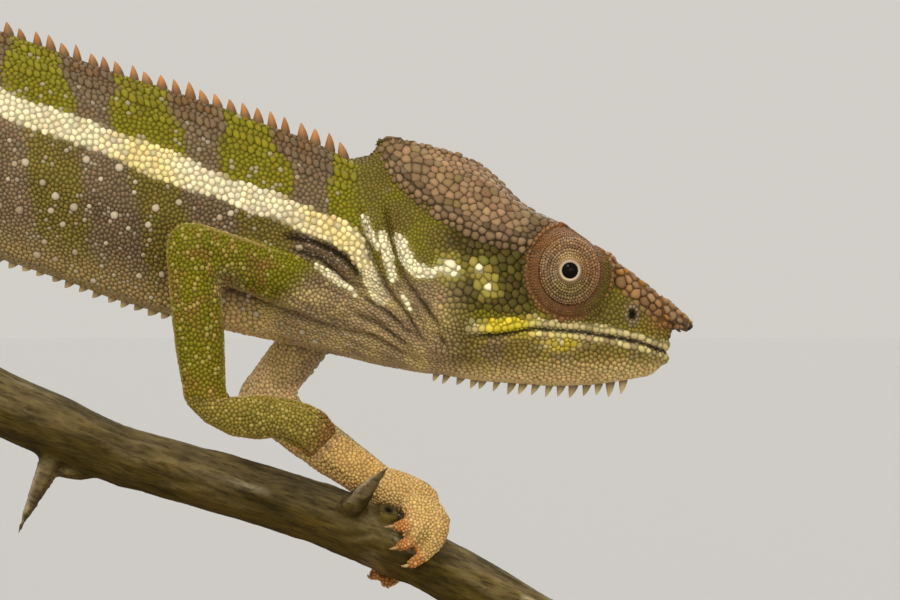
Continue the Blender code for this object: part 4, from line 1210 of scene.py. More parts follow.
def placeSnoutKnobs(side):
    # rows of knobs round the ridge from the eye to the snout's tip, then those of the tip
    for spot in alongLine([(x, y * side, z) for x, y, z in canthus], 1.4):
        for j, turn in enumerate(np.radians([25, 75, 125, 175, 215])):
            out = np.array([0.45 * math.sin(turn), side * -math.cos(turn), 0.9 * math.sin(turn)])
            shift = (0.6 * (j % 2), 0, -0.5 * (j % 2)) + dice.normal(0, 0.12, 3)
            at, n = nearSkin(spot + out * 1.6 + shift)
            tone = mixTo(hues["snout"], hues["greyBrown"] * 1.4, dice.uniform(0, 0.8))
            tone *= dice.uniform(0.7, 1.25)
            if dice.random() < 0.1:
                tone = hues["rust"] * 1.1
            place(at, n, 0.80 * dice.uniform(0.72, 1.15), "knob", tone)
    for x, out, z, tone, radius in hornTip:
        at, n = nearSkin((x, (1.75 + out) * side, z))
        place(at, n, radius, "knob", tone)


def placeNostrilBeads(side):
    for turn in np.arange(0, 2 * math.pi, math.pi / 5):
        hit = castFrom(nostrilAt[0] + 0.85 * math.cos(turn), nostrilAt[1] + 1.15 * math.sin(turn), side)
        place(*hit, 0.30, "bead", hues["greyBrown"] * dice.uniform(1.0, 1.6))


def placeHeadKnobs():
    for side in (-1, 1):
        placeCasqueKnobs(side)
        placeOrbitKnobs(side)
        placeSnoutKnobs(side)
        placeNostrilBeads(side)
    for x in np.arange(70.6, 92.5, 1.05):
        at, n = nearSkin((x, 0.0, ridgeHeight(x)))
        place(at, n, 0.56 * dice.uniform(0.9, 1.1), "knob", hues["casque"] * dice.uniform(0.7, 1.1))


turretRows = (  # distance from the pupil and half width of the lids' granules
    (1.80, 0.155), (2.10, 0.17), (2.44, 0.19), (2.86, 0.215), (3.27, 0.225), (3.68, 0.225),
    (4.12, 0.215), (4.44, 0.18),
)
foldRows = (  # share of the way to the socket's rim and half width of the fold's granules
    (0.38, 0.19), (0.53, 0.21), (0.68, 0.22), (0.83, 0.23), (0.98, 0.23),
)
ringSteps = 72
around = np.arange(ringSteps) * 2 * math.pi / ringSteps
grooveRadius = 4.74  # of the groove between the turret of lids and the fold round it
turretRadius = 5.3


def turretPoint(r, turn, side, lift=0.0):
    # a point on the eye's cone of lids, r out from the pupil
    flat = math.sqrt(max(0.0, 1 - (r / turretRadius) ** 2))
    at = np.array([eyeAt[0] + math.cos(turn) * r * eyeRadii[0] / turretRadius,
                   side * (eyeAt[1] + turretRadius * flat - 0.16),
                   eyeAt[2] + math.sin(turn) * r * eyeRadii[2] / turretRadius])
    n = (at - eyeAt * (1, side, 1)) / eyeRadii ** 2
    n /= np.linalg.norm(n)
    return at + n * lift, n


def turretTint(r, turn, side):
    at = turretPoint(r, turn, side)[0][None]
    right = 0.5 + 0.5 * math.cos(turn)
    tone = mixTo(hues["casque"] * 1.05, hues["orbit"] * 1.45, right * 0.65)
    tone = mixTo(tone, hues["rust"] * 0.9, mottling(at, 1.7, 91, 0.1, 0.8)[0] * 0.55)
    tone = mixTo(tone, hues["pearl"] * 0.7, mottling(at, 1.2, 93, 0.3, 0.9)[0] * 0.55)
    below = ramp(-math.sin(turn), 0.2, 0.9) * ramp(4.6 - r, 0, 1.5)
    tone = mixTo(tone, hues["butter"] * 0.36, below * 0.8)
    above = ramp(math.sin(turn), 0.3, 0.9) * ramp(3.0 - r, 0, 1.0)
    tone = mixTo(tone, hues["belly"] * 1.2, above * 0.7)
    return tone * (1 - 0.3 * math.exp(-((r - 3.27) / 0.2) ** 2) - 0.2 * math.exp(-((r - 2.3) / 0.15) ** 2))


def socketRim(side):
    # the skin's edge round the eye, evened, where the fold of the orbit ends
    rim = []
    for turn in around:
        x = eyeAt[0] + math.cos(turn) * 6.3 * eyeRadii[0] / turretRadius
        z = eyeAt[2] + math.sin(turn) * 6.3 * eyeRadii[2] / turretRadius
        hit = castFrom(x, z, side)
        rim.append(nearSkin((x, side * 5.0, z))[0] if hit[0] is None else hit[0])
    rim = np.array(rim)
    for _ in range(8):
        rim = (np.roll(rim, 1, axis=0) + 2 * rim + np.roll(rim, -1, axis=0)) / 4
    return rim


def foldPoint(rim, turn, share, side):
    # a point on the smooth fold between the turret's groove (share 0) and the socket's rim (share 1)
    k = turn / (2 * math.pi) * len(rim)
    outer = rim[int(k) % ringSteps] * (1 - k % 1) + rim[(int(k) + 1) % ringSteps] * (k % 1)
    inner = turretPoint(grooveRadius, turn, side, -0.60)[0]
    at = mixTo(inner, outer, share)
    at[1] += side * (0.62 * max(0.0, math.sin(math.pi * share)) ** 0.7 - 0.06)
    return at


def foldTint(at, turn, share):
    tone = hues["orbit"] * 0.75 * (1 + 0.4 * max(0, math.sin(turn)))
    tone = mixTo(tone, hues["casque"] * 0.6, mottling(at[None], 1.6, 95, 0.2, 0.9)[0] * 0.5)
    front = ramp(math.cos(turn), 0.05, 0.75) * ramp(share, 0.40, 0.62)
    ahead = mixTo(hues["olive"] * 0.95, hues["snout"] * 0.6, ramp(math.sin(turn), 0.05, 0.5))
    return mixTo(tone, ahead, front * 0.9)


def placeTurrets():
    for side in (-1, 1):
        for row, (r, size) in enumerate(turretRows):
            count = int(2 * math.pi * r / (size * 1.96))
            for k in range(count):
                turn = 2 * math.pi * (k + 0.5 * (row % 2) + dice.uniform(-0.16, 0.16)) / count
                at, n = turretPoint(r + dice.uniform(-0.05, 0.05), turn, side)
                grow = dice.uniform(0.82, 1.12) * (1 + 0.18 * max(0, -math.sin(turn)))
                place(at, n, size * grow, "grain", turretTint(r, turn, side) * dice.uniform(0.72, 1.28))
        rim = socketRim(side)
        for row, (share, size) in enumerate(foldRows):
            count = int(2 * math.pi * (grooveRadius + 1.6 * share) / (size * 1.96))
            for k in range(count):
                turn = 2 * math.pi * ((k + 0.5 * (row % 2) + dice.uniform(-0.2, 0.2)) / count % 1)
                here = share + dice.uniform(-0.03, 0.03)
                at = foldPoint(rim, turn, here, side)
                n = np.cross(foldPoint(rim, turn + 0.02, here, side) - at,
                             foldPoint(rim, turn, here + 0.03, side) - at)
                n *= side * np.sign(n[1] + 1e-9) / np.linalg.norm(n)
                tone = foldTint(at, turn, here) * dice.uniform(0.75, 1.25)
                place(at, n, size * dice.uniform(0.85, 1.1), "grain", tone)


placeBackRows()
placeWhites()
placeLips()
placeHeadKnobs()
turretFrom = len(placed)
placeTurrets()
print("placed", len(placed), "scales by rule")


# gap and density of the candidates; closest spacing and spacing aimed at, as shares of two radii
filling = {"gap": 0.25, "density": 4e7, "closest": 0.80, "even": 1.04, "rounds": 5, "longFrom": 1.3}


def fillSkin():
    # plain scales between the placed ones: candidates are thinned by their own spacing, then pushed even
    seeds = strewSeeds(filling["gap"], filling["density"])
    regions = region[tris[skinFaces(seeds), 0]]
    radius = grainRadius(seeds, regions)
    fixed = np.array([r[0] for r in placed])
    fixedR = np.array([r[2] for r in placed])
    guards = []  # stand-ins that keep the ends of long scales free
    for root, n, size, *_, way, longer in placed:
        if way is not None and longer > filling["longFrom"]:
            up = np.array(way) - n * np.dot(way, n)
            up *= size * (longer - 1) / np.linalg.norm(up)
            guards += [(root + up, size), (root - up, size)]
    fixed = np.concatenate([fixed, [g[0] for g in guards]])
    fixedR = np.concatenate([fixedR, [g[1] for g in guards]])
    spots = np.concatenate([fixed, seeds])
    radii = np.concatenate([fixedR, radius])
    order = np.concatenate([np.arange(len(fixed)), len(fixed) + dice.permutation(len(seeds))])
    tree = treeOf(spots)
    away = np.hypot((seeds[:, 0] - eyeAt[0]) / 6.0, (seeds[:, 2] - eyeAt[2]) / 6.7)
    alive = np.ones(len(spots), bool)
    alive[len(fixed):] = ~((away < 1.0) & (np.abs(seeds[:, 1]) > 3.0) & np.isin(regions, headLike))
    r = radii.tolist()
    spotList = spots.tolist()
    for k in order.tolist():
        if not alive[k]:
            continue
        for _, j, d in tree.find_range(spotList[k], r[k] * 1.85 + 0.18):
            if j != k and j >= len(fixed) and d < (r[k] + r[j]) * filling["closest"]:
                alive[j] = False
    keep = np.flatnonzero(alive[len(fixed):])
    return fixed, fixedR, seeds[keep], radius[keep]


def spreadOut(fixed, fixedR, loose, looseR):
    count = len(fixed)
    p = np.concatenate([fixed, loose])
    r = np.concatenate([fixedR, looseR])
    for _ in range(filling["rounds"]):
        tree = treeOf(p)
        near = np.array([[f[1] for f in tree.find_n(q, 8)] for q in p[count:].tolist()])[:, 1:]
        away = p[count:, None] - p[near]
        d = np.linalg.norm(away, axis=2) + 1e-9
        want = (r[count:, None] + r[near]) * filling["even"]
        push = np.clip(want - d, 0, None) / d * 0.42
        step = (away * push[:, :, None]).sum(axis=1)
        reach = np.linalg.norm(step, axis=1, keepdims=True)
        moved = p[count:] + step * np.minimum(1, 0.5 * r[count:, None] / np.maximum(reach, 1e-9))
        p[count:] = ontoSkin(moved)
    return p[count:]


fixed, fixedR, loose, looseR = fillSkin()
print("filled with", len(loose), "plain scales")
loose = spreadOut(fixed, fixedR, loose, looseR)
fixed, fixedR = fixed[:len(placed)], fixedR[:len(placed)]
print("spread out")


def baryOf(points, faces):
    a, b, c = (body[tris[faces, k]] for k in range(3))
    n = np.cross(b - a, c - a)
    area = np.maximum((n * n).sum(axis=1), 1e-18)
    u = (np.cross(c - b, points - b) * n).sum(axis=1) / area
    v = (np.cross(a - c, points - c) * n).sum(axis=1) / area
    w = np.stack([u, v, 1 - u - v], axis=1).clip(0, 1)
    return w / w.sum(axis=1, keepdims=True)


# shares of paler grains and of beads, the beads' growth, plain stretch, radii where kinds begin
coatMix = {"paleOnFlank": 0.07, "beadsOnLimbs": 0.12, "beadSize": 1.28, "stretch": 1.12,
           "plateFrom": 0.5, "bigFrom": 0.43}


def gatherScales():
    # one table of all the scales, with normals, places on the unwrap and colours
    spots = np.concatenate([fixed, loose])
    faces = skinFaces(spots)
    w = baryOf(spots, faces)
    normals = (bodyNormals[tris[faces]] * w[:, :, None]).sum(axis=1)
    given = np.array([r[1] for r in placed])
    normals[:len(given)] = given
    normals /= np.linalg.norm(normals, axis=1, keepdims=True)
    regions = region[tris[faces, 0]]
    uv = (skinUv[faces] * w[:, :, None]).sum(axis=1)
    paint = paintAt(spots, normals, regions)
    paint *= dice.uniform(0.84, 1.14, len(spots))[:, None]
    paint *= 1 + dice.normal(0, 0.03, paint.shape)
    kind = np.zeros(len(spots), int)
    stretch = np.full(len(spots), coatMix["stretch"])
    along = np.tile((-0.3, 0.0, 1.0), (len(spots), 1))
    for k, (*_, name, tint, way, longer) in enumerate(placed):
        kind[k] = kinds.index(name)
        stretch[k] = longer
        if way is not None:
            along[k] = way
        if tint is not None:
            paint[k] = tint
    size = np.concatenate([fixedR, looseR])
    fine = neckShare(spots) * (kind == 0) * np.isin(regions, bodyLike)
    along = mixTo(along, np.array((1.0, 0.0, -0.42)), ramp(fine, 0.1, 0.4))
    stretch += 0.55 * fine
    flank = (kind == 0) & (regions < 2) & (dice.random(len(spots)) < coatMix["paleOnFlank"])
    paint[flank] = mixTo(paint[flank], hues["pearl"] * 0.8, 0.55)
    plates = (kind == 0) & (size > coatMix["plateFrom"]) & np.isin(regions, headLike)
    kind[plates] = kinds.index("plate")
    paint[plates] *= dice.uniform(0.72, 1.22, plates.sum())[:, None]
    limb = np.isin(regions, [flesh.index(n) for n in limbNames])
    beads = limb & (dice.random(len(spots)) < coatMix["beadsOnLimbs"])
    size[beads] *= coatMix["beadSize"]
    paint[beads] = paint[beads] * 0.8 + hues["butter"] * 0.22
    kind[beads] = kinds.index("bead")
    group = np.zeros(len(spots), int)
    for k, name in enumerate(flesh):
        group[regions == k] = (0 if name in ("trunk", "hips") else 2 if k in headLike
                               else 6 if name.startswith("tail") else 4)
    group += (spots[:, 1] > 0) * (group != 6)
    order = np.arange(len(spots))
    group[(order >= turretFrom) & (order < len(placed))] = 8
    return {"spots": spots, "normals": normals, "size": size, "kind": kind, "stretch": stretch,
            "along": along, "paint": paint, "uv": uv, "group": group}


def fitCells(coat, corners):
    # how far each scale may reach in each direction before it meets its neighbours
    spots, normals, size, kind, stretch, along = (
        coat[key] for key in ("spots", "normals", "size", "kind", "stretch", "along"))
    tree = treeOf(spots)
    near = np.array([[f[1] for f in tree.find_n(p, 12)] for p in spots.tolist()])[:, 1:]
    up = along - normals * (along * normals).sum(axis=1, keepdims=True)
    up /= np.maximum(np.linalg.norm(up, axis=1, keepdims=True), 1e-9)
    across = np.cross(up, normals)
    away = spots[near] - spots[:, None]
    a = (away * across[:, None]).sum(axis=2)
    b = (away * up[:, None]).sum(axis=2) / stretch[:, None]
    d = np.hypot(a, b)
    share = size[:, None] / (size[:, None] + size[near])
    edge = d * share
    angle = np.arctan2(b, a)
    first = angle[:, 0] + math.pi / corners
    turns = first[:, None] + np.arange(corners) * 2 * math.pi / corners
    lean = np.cos(turns[:, :, None] - angle[:, None, :])
    reach = np.where(lean > 0.15, edge[:, None, :] / np.maximum(lean, 0.15), 1e9).min(axis=2)
    # no wider than this many radii, and round scales stay round
    most = np.where(np.isin(kind, [kinds.index("bead"), kinds.index("knob")]), 1.22, 1.8)
    reach = np.clip(reach, size[:, None] * 0.35, (size * most)[:, None])
    return {"up": up, "across": across, "turns": turns, "reach": reach}


def growScales(name, pick, coat, cells, rings, material):
    # solid scales in one mesh, each with a foot ring, rings above it and a middle point on top
    spots, n, radius, kind, stretch, paint, uv, group = (
        coat[key][pick] for key in ("spots", "normals", "size", "kind", "stretch", "paint", "uv", "group"))
    up, across, turns, reach = (cells[key][pick] for key in ("up", "across", "turns", "reach"))
    corners = turns.shape[1]
    look = np.array([scaleLook[k] for k in kinds])[kind]
    mean = np.minimum(reach.mean(axis=1), radius * 1.15)
    tall = look[:, 0] * mean * dice.uniform(0.85, 1.15, len(pick))
    points, tints, local = [], [], []
    bent = np.flatnonzero((kind > 0) & (group < 4))  # larger scales that follow the skin's bends
    for share, rise, shade in rings:
        # share of the way out, height share and painted shade of each ring, from the root up: a dark foot
        # ring for the shade in the grooves between scales, a lighter crown as a painted highlight
        out = reach * 1.01 * np.where(share == 1.0, 1.0, share * look[:, 2:3] / 0.74)
        a, b = np.cos(turns) * out, np.sin(turns) * out * stretch[:, None]
        high = np.where(rise < 0, rise * look[:, 1] * mean, rise * tall)
        ring = spots[:, None] + across[:, None] * a[:, :, None] + up[:, None] * b[:, :, None]
        if len(bent):
            ring[bent] = ontoSkin(ring[bent].reshape(-1, 3)).reshape(len(bent), corners, 3)
        points.append(ring + n[:, None] * high[:, None, None])
        tints.append(np.repeat(paint[:, None] * shade, corners, axis=1))
        local.append(np.stack([a, b], axis=2) / radius[:, None, None])
    # the middle point on top is painted a little lighter than the crown: a painted highlight
    points.append((spots + n * tall[:, None])[:, None])
    tints.append((paint * rings[-1][2] * 1.06)[:, None])
    local.append(np.zeros((len(pick), 1, 2)))
    points, tints, local = (np.concatenate(x, axis=1) for x in (points, tints, local))
    each = points.shape[1]
    faces = [half for a, b, c, d in ringFaces(len(rings), corners) for half in ((a, b, c), (a, c, d))]
    lo = (len(rings) - 1) * corners
    faces += [(lo + k, lo + (k + 1) % corners, each - 1) for k in range(corners)]
    faces = np.array(faces)
    allFaces = (faces[None] + (np.arange(len(pick)) * each)[:, None, None]).reshape(-1, 3)
    mesh = meshFrom(name, points.reshape(-1, 3), allFaces)
    vertexTint(mesh, tints.reshape(-1, 3))
    spread = (uv[:, None] + local * bakeSize).reshape(-1, 2)
    writeAll(mesh.uv_layers.new(name="OFBake").data, "uv", spread[allFaces.ravel()])
    piece = addPiece(name, mesh, material)
    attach(piece, "root")
    return len(allFaces)


# rings of the plain and of the large scales: share of the way out, height, shade; the shade is painted shade,
# dark at the root ring for the grooves between scales and lighter toward the crown as a painted highlight
lowRings = ((1.0, -1.0, 0.50), (0.76, 0.72, 1.0))
fineRings = ((1.0, -1.0, 0.42), (0.96, 0.25, 0.62), (0.80, 0.74, 0.92), (0.45, 0.95, 1.10))
groupNames = {0: "scales_trunk_right", 1: "scales_trunk_left", 2: "scales_head_right", 3: "scales_head_left",
              4: "scales_limbs_right", 5: "scales_limbs_left", 6: "scales_tail", 8: "scales_eyelids"}
mostTriangles = 190000  # in one piece of plain scales, 18 to a scale
bakeSize = 0.0015  # of a scale's radius on its bake map


def growCoat():
    coat = gatherScales()
    small, large = fitCells(coat, 6), fitCells(coat, 10)
    big = (coat["size"] > coatMix["bigFrom"]) & (coat["kind"] > 0)
    total = 0
    for g, name in groupNames.items():
        chosen = np.flatnonzero((coat["group"] == g) & ~big)
        parts = max(1, math.ceil(len(chosen) * 18 / mostTriangles))
        chosen = chosen[np.argsort(coat["spots"][chosen, 0], kind="stable")]
        for k, part in enumerate(np.array_split(chosen, parts)):
            if len(part):
                label = name + (f"_{k + 1}" if parts > 1 else "")
                total += growScales(label, part, coat, small, lowRings, materials["scale"])
        chosen = np.flatnonzero((coat["group"] == g) & big)
        if len(chosen):
            total += growScales(name.replace("scales", "plates"), chosen, coat, large, fineRings,
                                materials["horn" if g in (2, 3) else "scale"])
    return total


print("scales grown,", growCoat(), "triangles")


# crest: leaning horny cones along the back, the belly and the throat

def coneShape(corners):
    # one cone of unit height and radius, hooked back a little at its tip
    rows = ((1.0, -0.25, 0.0), (0.94, 0.12, 0.0), (0.68, 0.48, -0.03), (0.34, 0.80, -0.10),
            (0.10, 0.97, -0.17))  # radius, height, lean
    points = [(math.cos(t) * r + lean, math.sin(t) * r, z)
              for r, z, lean in rows for t in np.arange(corners) * 2 * math.pi / corners]
    faces = ringFaces(len(rows), corners)
    top = len(points)
    points.append((-0.19, 0, 1.0))
    faces += [(top - corners + k, top - corners + (k + 1) % corners, top) for k in range(corners)]
    mesh = meshFrom("cone", np.array(points) / mm, faces)
    rise = mesh.attributes.new("rise", "FLOAT", "POINT")
    writeAll(rise.data, "value", [p[2] for p in points])
    shape = addPiece("cone", mesh)
    shape.hide_render = True
    return shape


def coneTree():
    tree, given, result = nodeTree("set_cones", [
        ("Geometry", "NodeSocketGeometry", None), ("Cone", "NodeSocketObject", None),
        ("Horn", "NodeSocketMaterial", None)])

    def stored(name, kind):
        node = tree.nodes.new("GeometryNodeInputNamedAttribute")
        node.data_type = kind
        node.inputs["Name"].default_value = name
        return node.outputs["Attribute"]
    shape = tree.nodes.new("GeometryNodeObjectInfo")
    tree.links.new(given["Cone"], shape.inputs["Object"])
    setting = tree.nodes.new("GeometryNodeInstanceOnPoints")
    tree.links.new(given["Geometry"], setting.inputs["Points"])
    tree.links.new(shape.outputs["Geometry"], setting.inputs["Instance"])
    tree.links.new(stored("lean", "FLOAT_VECTOR"), setting.inputs["Rotation"])
    tree.links.new(stored("girth", "FLOAT_VECTOR"), setting.inputs["Scale"])
    real = tree.nodes.new("GeometryNodeRealizeInstances")
    tree.links.new(setting.outputs[0], real.inputs[0])
    coat = tree.nodes.new("GeometryNodeSetMaterial")
    tree.links.new(real.outputs[0], coat.inputs["Geometry"])
    tree.links.new(given["Horn"], coat.inputs["Material"])
    tree.links.new(coat.outputs[0], result[0])
    return tree


crests = {  # start, end, spacing, heights, radii, tilt toward the tail, where, colour
    "back": (64.4, -22.5, 2.0, (2.65, 1.8), (0.66, 0.60), 0.42, 1, "spine"),
    "hips": (-25.0, -50.0, 2.0, (1.75, 1.1), (0.58, 0.50), 0.42, 1, "spine"),
    "belly": (41.0, -20.0, 2.0, (1.30, 0.95), (0.64, 0.55), 0.30, -1, "bone"),
    "throat": (105.0, 78.0, 1.75, (2.40, 1.5), (0.56, 0.46), 0.25, -1, "bone"),
}


def crestRoots():
    # root, lean, girth and tone of every cone
    roots, leans, girths, tones = [], [], [], []
    for name, (start, end, spacing, heights, radii, tilt, up, tone) in crests.items():
        count = int(abs(end - start) / spacing)
        for k in range(count + 1):
            share = k / count
            x = start + (end - start) * share + dice.normal(0, 0.16)
            z0, z1, z = (ridgeHeight(x + m, up > 0) for m in (-0.8, 0.8, 0.0))
            if None in (z0, z1, z):
                continue
            normal = Vector((-(z1 - z0) / 1.6 * up, 0, up)).normalized()
            axis = (normal + Vector((-tilt * dice.uniform(0.8, 1.2), dice.normal(0, 0.04), 0))).normalized()
            face = (Vector((1, 0, 0)) - axis * axis.x).normalized()
            leans.append(tuple(Matrix((face, axis.cross(face), axis)).transposed().to_euler()))
            radius = radii[0] + (radii[1] - radii[0]) * share
            tall = (heights[0] + (heights[1] - heights[0]) * share) * dice.uniform(0.78, 1.05)
            radius *= dice.uniform(0.88, 1.15)
            roots.append((x, 0.0, (z0 + z1 + z) / 3))
            girths.append((radius * 1.25, radius * 0.95, tall))
            horn = hues[tone] * dice.uniform(0.8, 1.2)
            if name in ("back", "hips"):
                horn = mixTo(horn[None], hues["greyBrown"][None] * 1.5, [dice.uniform(0, 0.45)])[0]
            tones.append(horn)
    return roots, leans, girths, tones


def growCrests():
    roots, leans, girths, tones = crestRoots()
    mesh = bpy.data.meshes.new("crest_cones")
    mesh.from_pydata([Vector(r) * mm for r in roots], [], [])
    for name, values in (("lean", leans), ("girth", np.array(girths) * mm), ("tone", tones)):
        writeAll(mesh.attributes.new(name, "FLOAT_VECTOR", "POINT").data, "vector", values)
    piece = addPiece("crest_cones", mesh)
    shape = coneShape(9)
    grow = piece.modifiers.new("cones", "NODES")
    grow.node_group = coneTree()
    setInputs(grow, Cone=shape, Horn=materials["horn"])
    bakeModifiers(piece)
    drop(shape)
    made = piece.data
    tone = readAll(made.attributes["tone"].data, "vector", 3).reshape(-1, 3)
    rise = readAll(made.attributes["rise"].data, "value")
    # painted shade: the cones are darker toward the root, where they meet the skin, and lighter toward the
    # tip
    shade = 0.5 + 0.6 * np.clip(rise + 0.15, 0, 1)
    grey = 1 - ramp(rise, 0.1, 0.6)
    vertexTint(made, mixTo(tone, hues["greyBrown"] * 1.2, grey * 0.7) * shade[:, None])
    each = len(made.vertices) // len(roots)
    roots = np.array(roots)
    faces = skinFaces(roots)
    w = baryOf(roots, faces)
    rootUv = np.repeat((skinUv[faces] * w[:, :, None]).sum(axis=1), each, axis=0)
    corner = readAll(made.loops, "vertex_index", 1, np.int32)
    local = pointsOf(made) - np.repeat(roots, each, axis=0)
    spread = rootUv + local[:, [0, 2]] * 0.0009
    writeAll(made.uv_layers.new(name="OFBake").data, "uv", spread[corner])
    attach(piece, "root")


growCrests()
print("crest cones set")


# eyelids: the turret of fused lids with its round opening, and the eyeball inside

lidProfile = [  # distance from the pupil, distance out from the eye's middle
    (1.06, 4.30), (1.09, 5.05), (1.17, 5.42), (1.34, 5.56), (1.52, 5.50), (1.66, 5.28), (1.80, 5.02),
]


foldShares = (0.0, 0.08, 0.18, 0.30, 0.42, 0.55, 0.68, 0.80, 0.92, 1.0)


def wetMaterial():
    wet, tree, shader = newMaterial("eye_wet")
    flecks = noiseNode(tree, placeOf(tree), 3000.0, 2.0)
    tone = rampNode(tree, flecks, [(0.3, (0.002, 0.002, 0.002)), (0.8, (0.010, 0.006, 0.004))])
    tree.links.new(tone, shader.inputs["Base Color"])
    shader.inputs["Roughness"].default_value = 0.06
    shader.inputs["Specular IOR Level"].default_value = 0.05
    return wet


def makeLids(name, side, material):
    # rings from the lids' opening out over the turret, then over the fold to the socket's rim
    rings, tints, rim = [], [], socketRim(side)
    radii = [r for r, _ in lidProfile] + list(np.arange(1.95, grooveRadius, 0.14))
    for k, r in enumerate(radii):
        for turn in around:
            if k < len(lidProfile):
                at = np.array([eyeAt[0] + math.cos(turn) * r, side * (eyeAt[1] + lidProfile[k][1]),
                               eyeAt[2] + math.sin(turn) * r])
                tone = mixTo((0.56, 0.45, 0.30), hues["casque"], ramp(r, 1.36, 1.60))
                # painted shade: the two rings inside the lids' opening are made dark
                tone = tone * (0.25 if k < 2 else 1.0)
            else:
                at = turretPoint(r, turn, side, -0.10 - 0.03 * math.sin(turn * 9 + r * 5))[0]
                # the turret under its granules at half their colour: painted shade in the gaps between them
                tone = turretTint(r, turn, side) * 0.5
            rings.append(at)
            tints.append(tone)
    for share in foldShares:
        rings += [foldPoint(rim, turn, share, side) for turn in around]
        # painted shade: the fold is dark next to the turret's groove
        tints += [hues["orbit"] * (0.12 + 0.55 * ramp(share, 0.05, 0.3))] * ringSteps
    # a last ring sunk into the head and painted dark: painted shade where the fold meets the skin
    rings += list(rim - (0, side * 1.2, 0))
    tints += [hues["dark"]] * ringSteps
    faces = ringFaces(len(radii) + len(foldShares) + 1, ringSteps)
    if side < 0:
        faces = [f[::-1] for f in faces]
    mesh = meshFrom("eyelids_" + name, np.array(rings), faces)
    vertexTint(mesh, np.array(tints))
    lids = addPiece("eyelids_" + name, mesh, material)
    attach(lids, "root")
    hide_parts("eye_turret_" + name)


def makeBall(name, side, material):
    bm = bmesh.new()
    bmesh.ops.create_uvsphere(bm, u_segments=40, v_segments=24, radius=1.72 * mm)
    bmesh.ops.translate(bm, verts=bm.verts, vec=Vector((eyeAt[0], side * 11.2, eyeAt[2])) * mm)
    mesh = bpy.data.meshes.new("eye")
    bm.to_mesh(mesh)
    bm.free()
    smoothAll(mesh)
    ball = addPiece("eye_" + name, mesh, material)
    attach(ball, "root")
    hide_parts("eyeball_" + name)


def makeEyes():
    lidHide, wet = hideMaterial("eyelid_hide", 0.8, 0.5, 2400.0, 0.04), wetMaterial()
    for name, side in (("right", -1), ("left", 1)):
        makeLids(name, side, lidHide)
        makeBall(name, side, wet)


makeEyes()
print("eyes set")


# claws: the CAD's claws rounded and given a horny finish

clawTones = {  # piece: start of the nodes' names, share of length kept, dark, middle and pale horn
    "claws_near_hand": ("claw_hand_right", 0.45, (0.30, 0.18, 0.07), (0.42, 0.26, 0.10), (0.50, 0.32, 0.14)),
    "claws": ("claw_", 0.68, (0.16, 0.08, 0.03), (0.40, 0.23, 0.09), (0.58, 0.40, 0.20)),
}


def drawnBack(name, claw, keep):
    # the claw shortened towards its own root, and sunk a little into its toe
    palm = nodes[name.removeprefix("claw_").rstrip("_0123456789")].data
    toes = BVHTree.FromPolygons(pointsOf(palm).tolist(), [list(f.vertices) for f in palm.polygons])
    hits = [toes.find_nearest(q) for q in claw.tolist()]
    outside = np.array([(Vector(q) - hit[0]).dot(hit[1]) for q, hit in zip(claw.tolist(), hits)])
    root = claw[np.argsort(outside)[:6]].mean(axis=0)
    axis = claw[np.argmax(np.linalg.norm(claw - root, axis=1))] - root
    axis /= np.linalg.norm(axis)
    return claw - (1 - keep) * np.outer((claw - root) @ axis, axis) - axis * 0.45


def makeClaws():
    done = set()
    for label, (start, keep, *tones) in clawTones.items():
        names = sorted(n for n in nodes if n.startswith(start) and n not in done)
        done.update(names)
        horn, tree, shader = newMaterial(label + "_horn")
        grain = noiseNode(tree, placeOf(tree), 900.0, 2.0)
        tone = rampNode(tree, grain, list(zip((0.25, 0.55, 0.8), tones)))
        tree.links.new(tone, shader.inputs["Base Color"])
        shader.inputs["Roughness"].default_value = 0.35
        mesh = cleanCopy(names)
        p, first = pointsOf(mesh), 0
        for name in names:
            last = first + len(cleanCopy([name]).vertices)
            p[first:last] = drawnBack(name, p[first:last], keep)
            first = last
        setPoints(mesh, p)
        piece = addPiece(label, mesh, horn)
        smooth = piece.modifiers.new("smooth", "SUBSURF")
        smooth.levels = smooth.render_levels = 2
        bakeModifiers(piece)
        smoothAll(piece.data)
        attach(piece, "root")
        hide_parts(*names)


makeClaws()


# perch: a cut length of thorny branch, with bark, knots and two sawn ends

perchLook = {"voxel": 0.55, "lumps": 0.28, "ridges": 0.16, "pits": 0.10, "slope": -0.36,
             "knot": (71.3, -3.1, 62.0)}
barkTones = {
    "grey": (0.150, 0.112, 0.048), "olive": (0.085, 0.058, 0.010), "pale": (0.40, 0.34, 0.22),
    "crack": (0.036, 0.024, 0.010), "thorn": (0.115, 0.082, 0.034), "thornEdge": (0.34, 0.27, 0.17),
    "hole": (0.010, 0.007, 0.004), "sawn": (0.50, 0.36, 0.19),
}


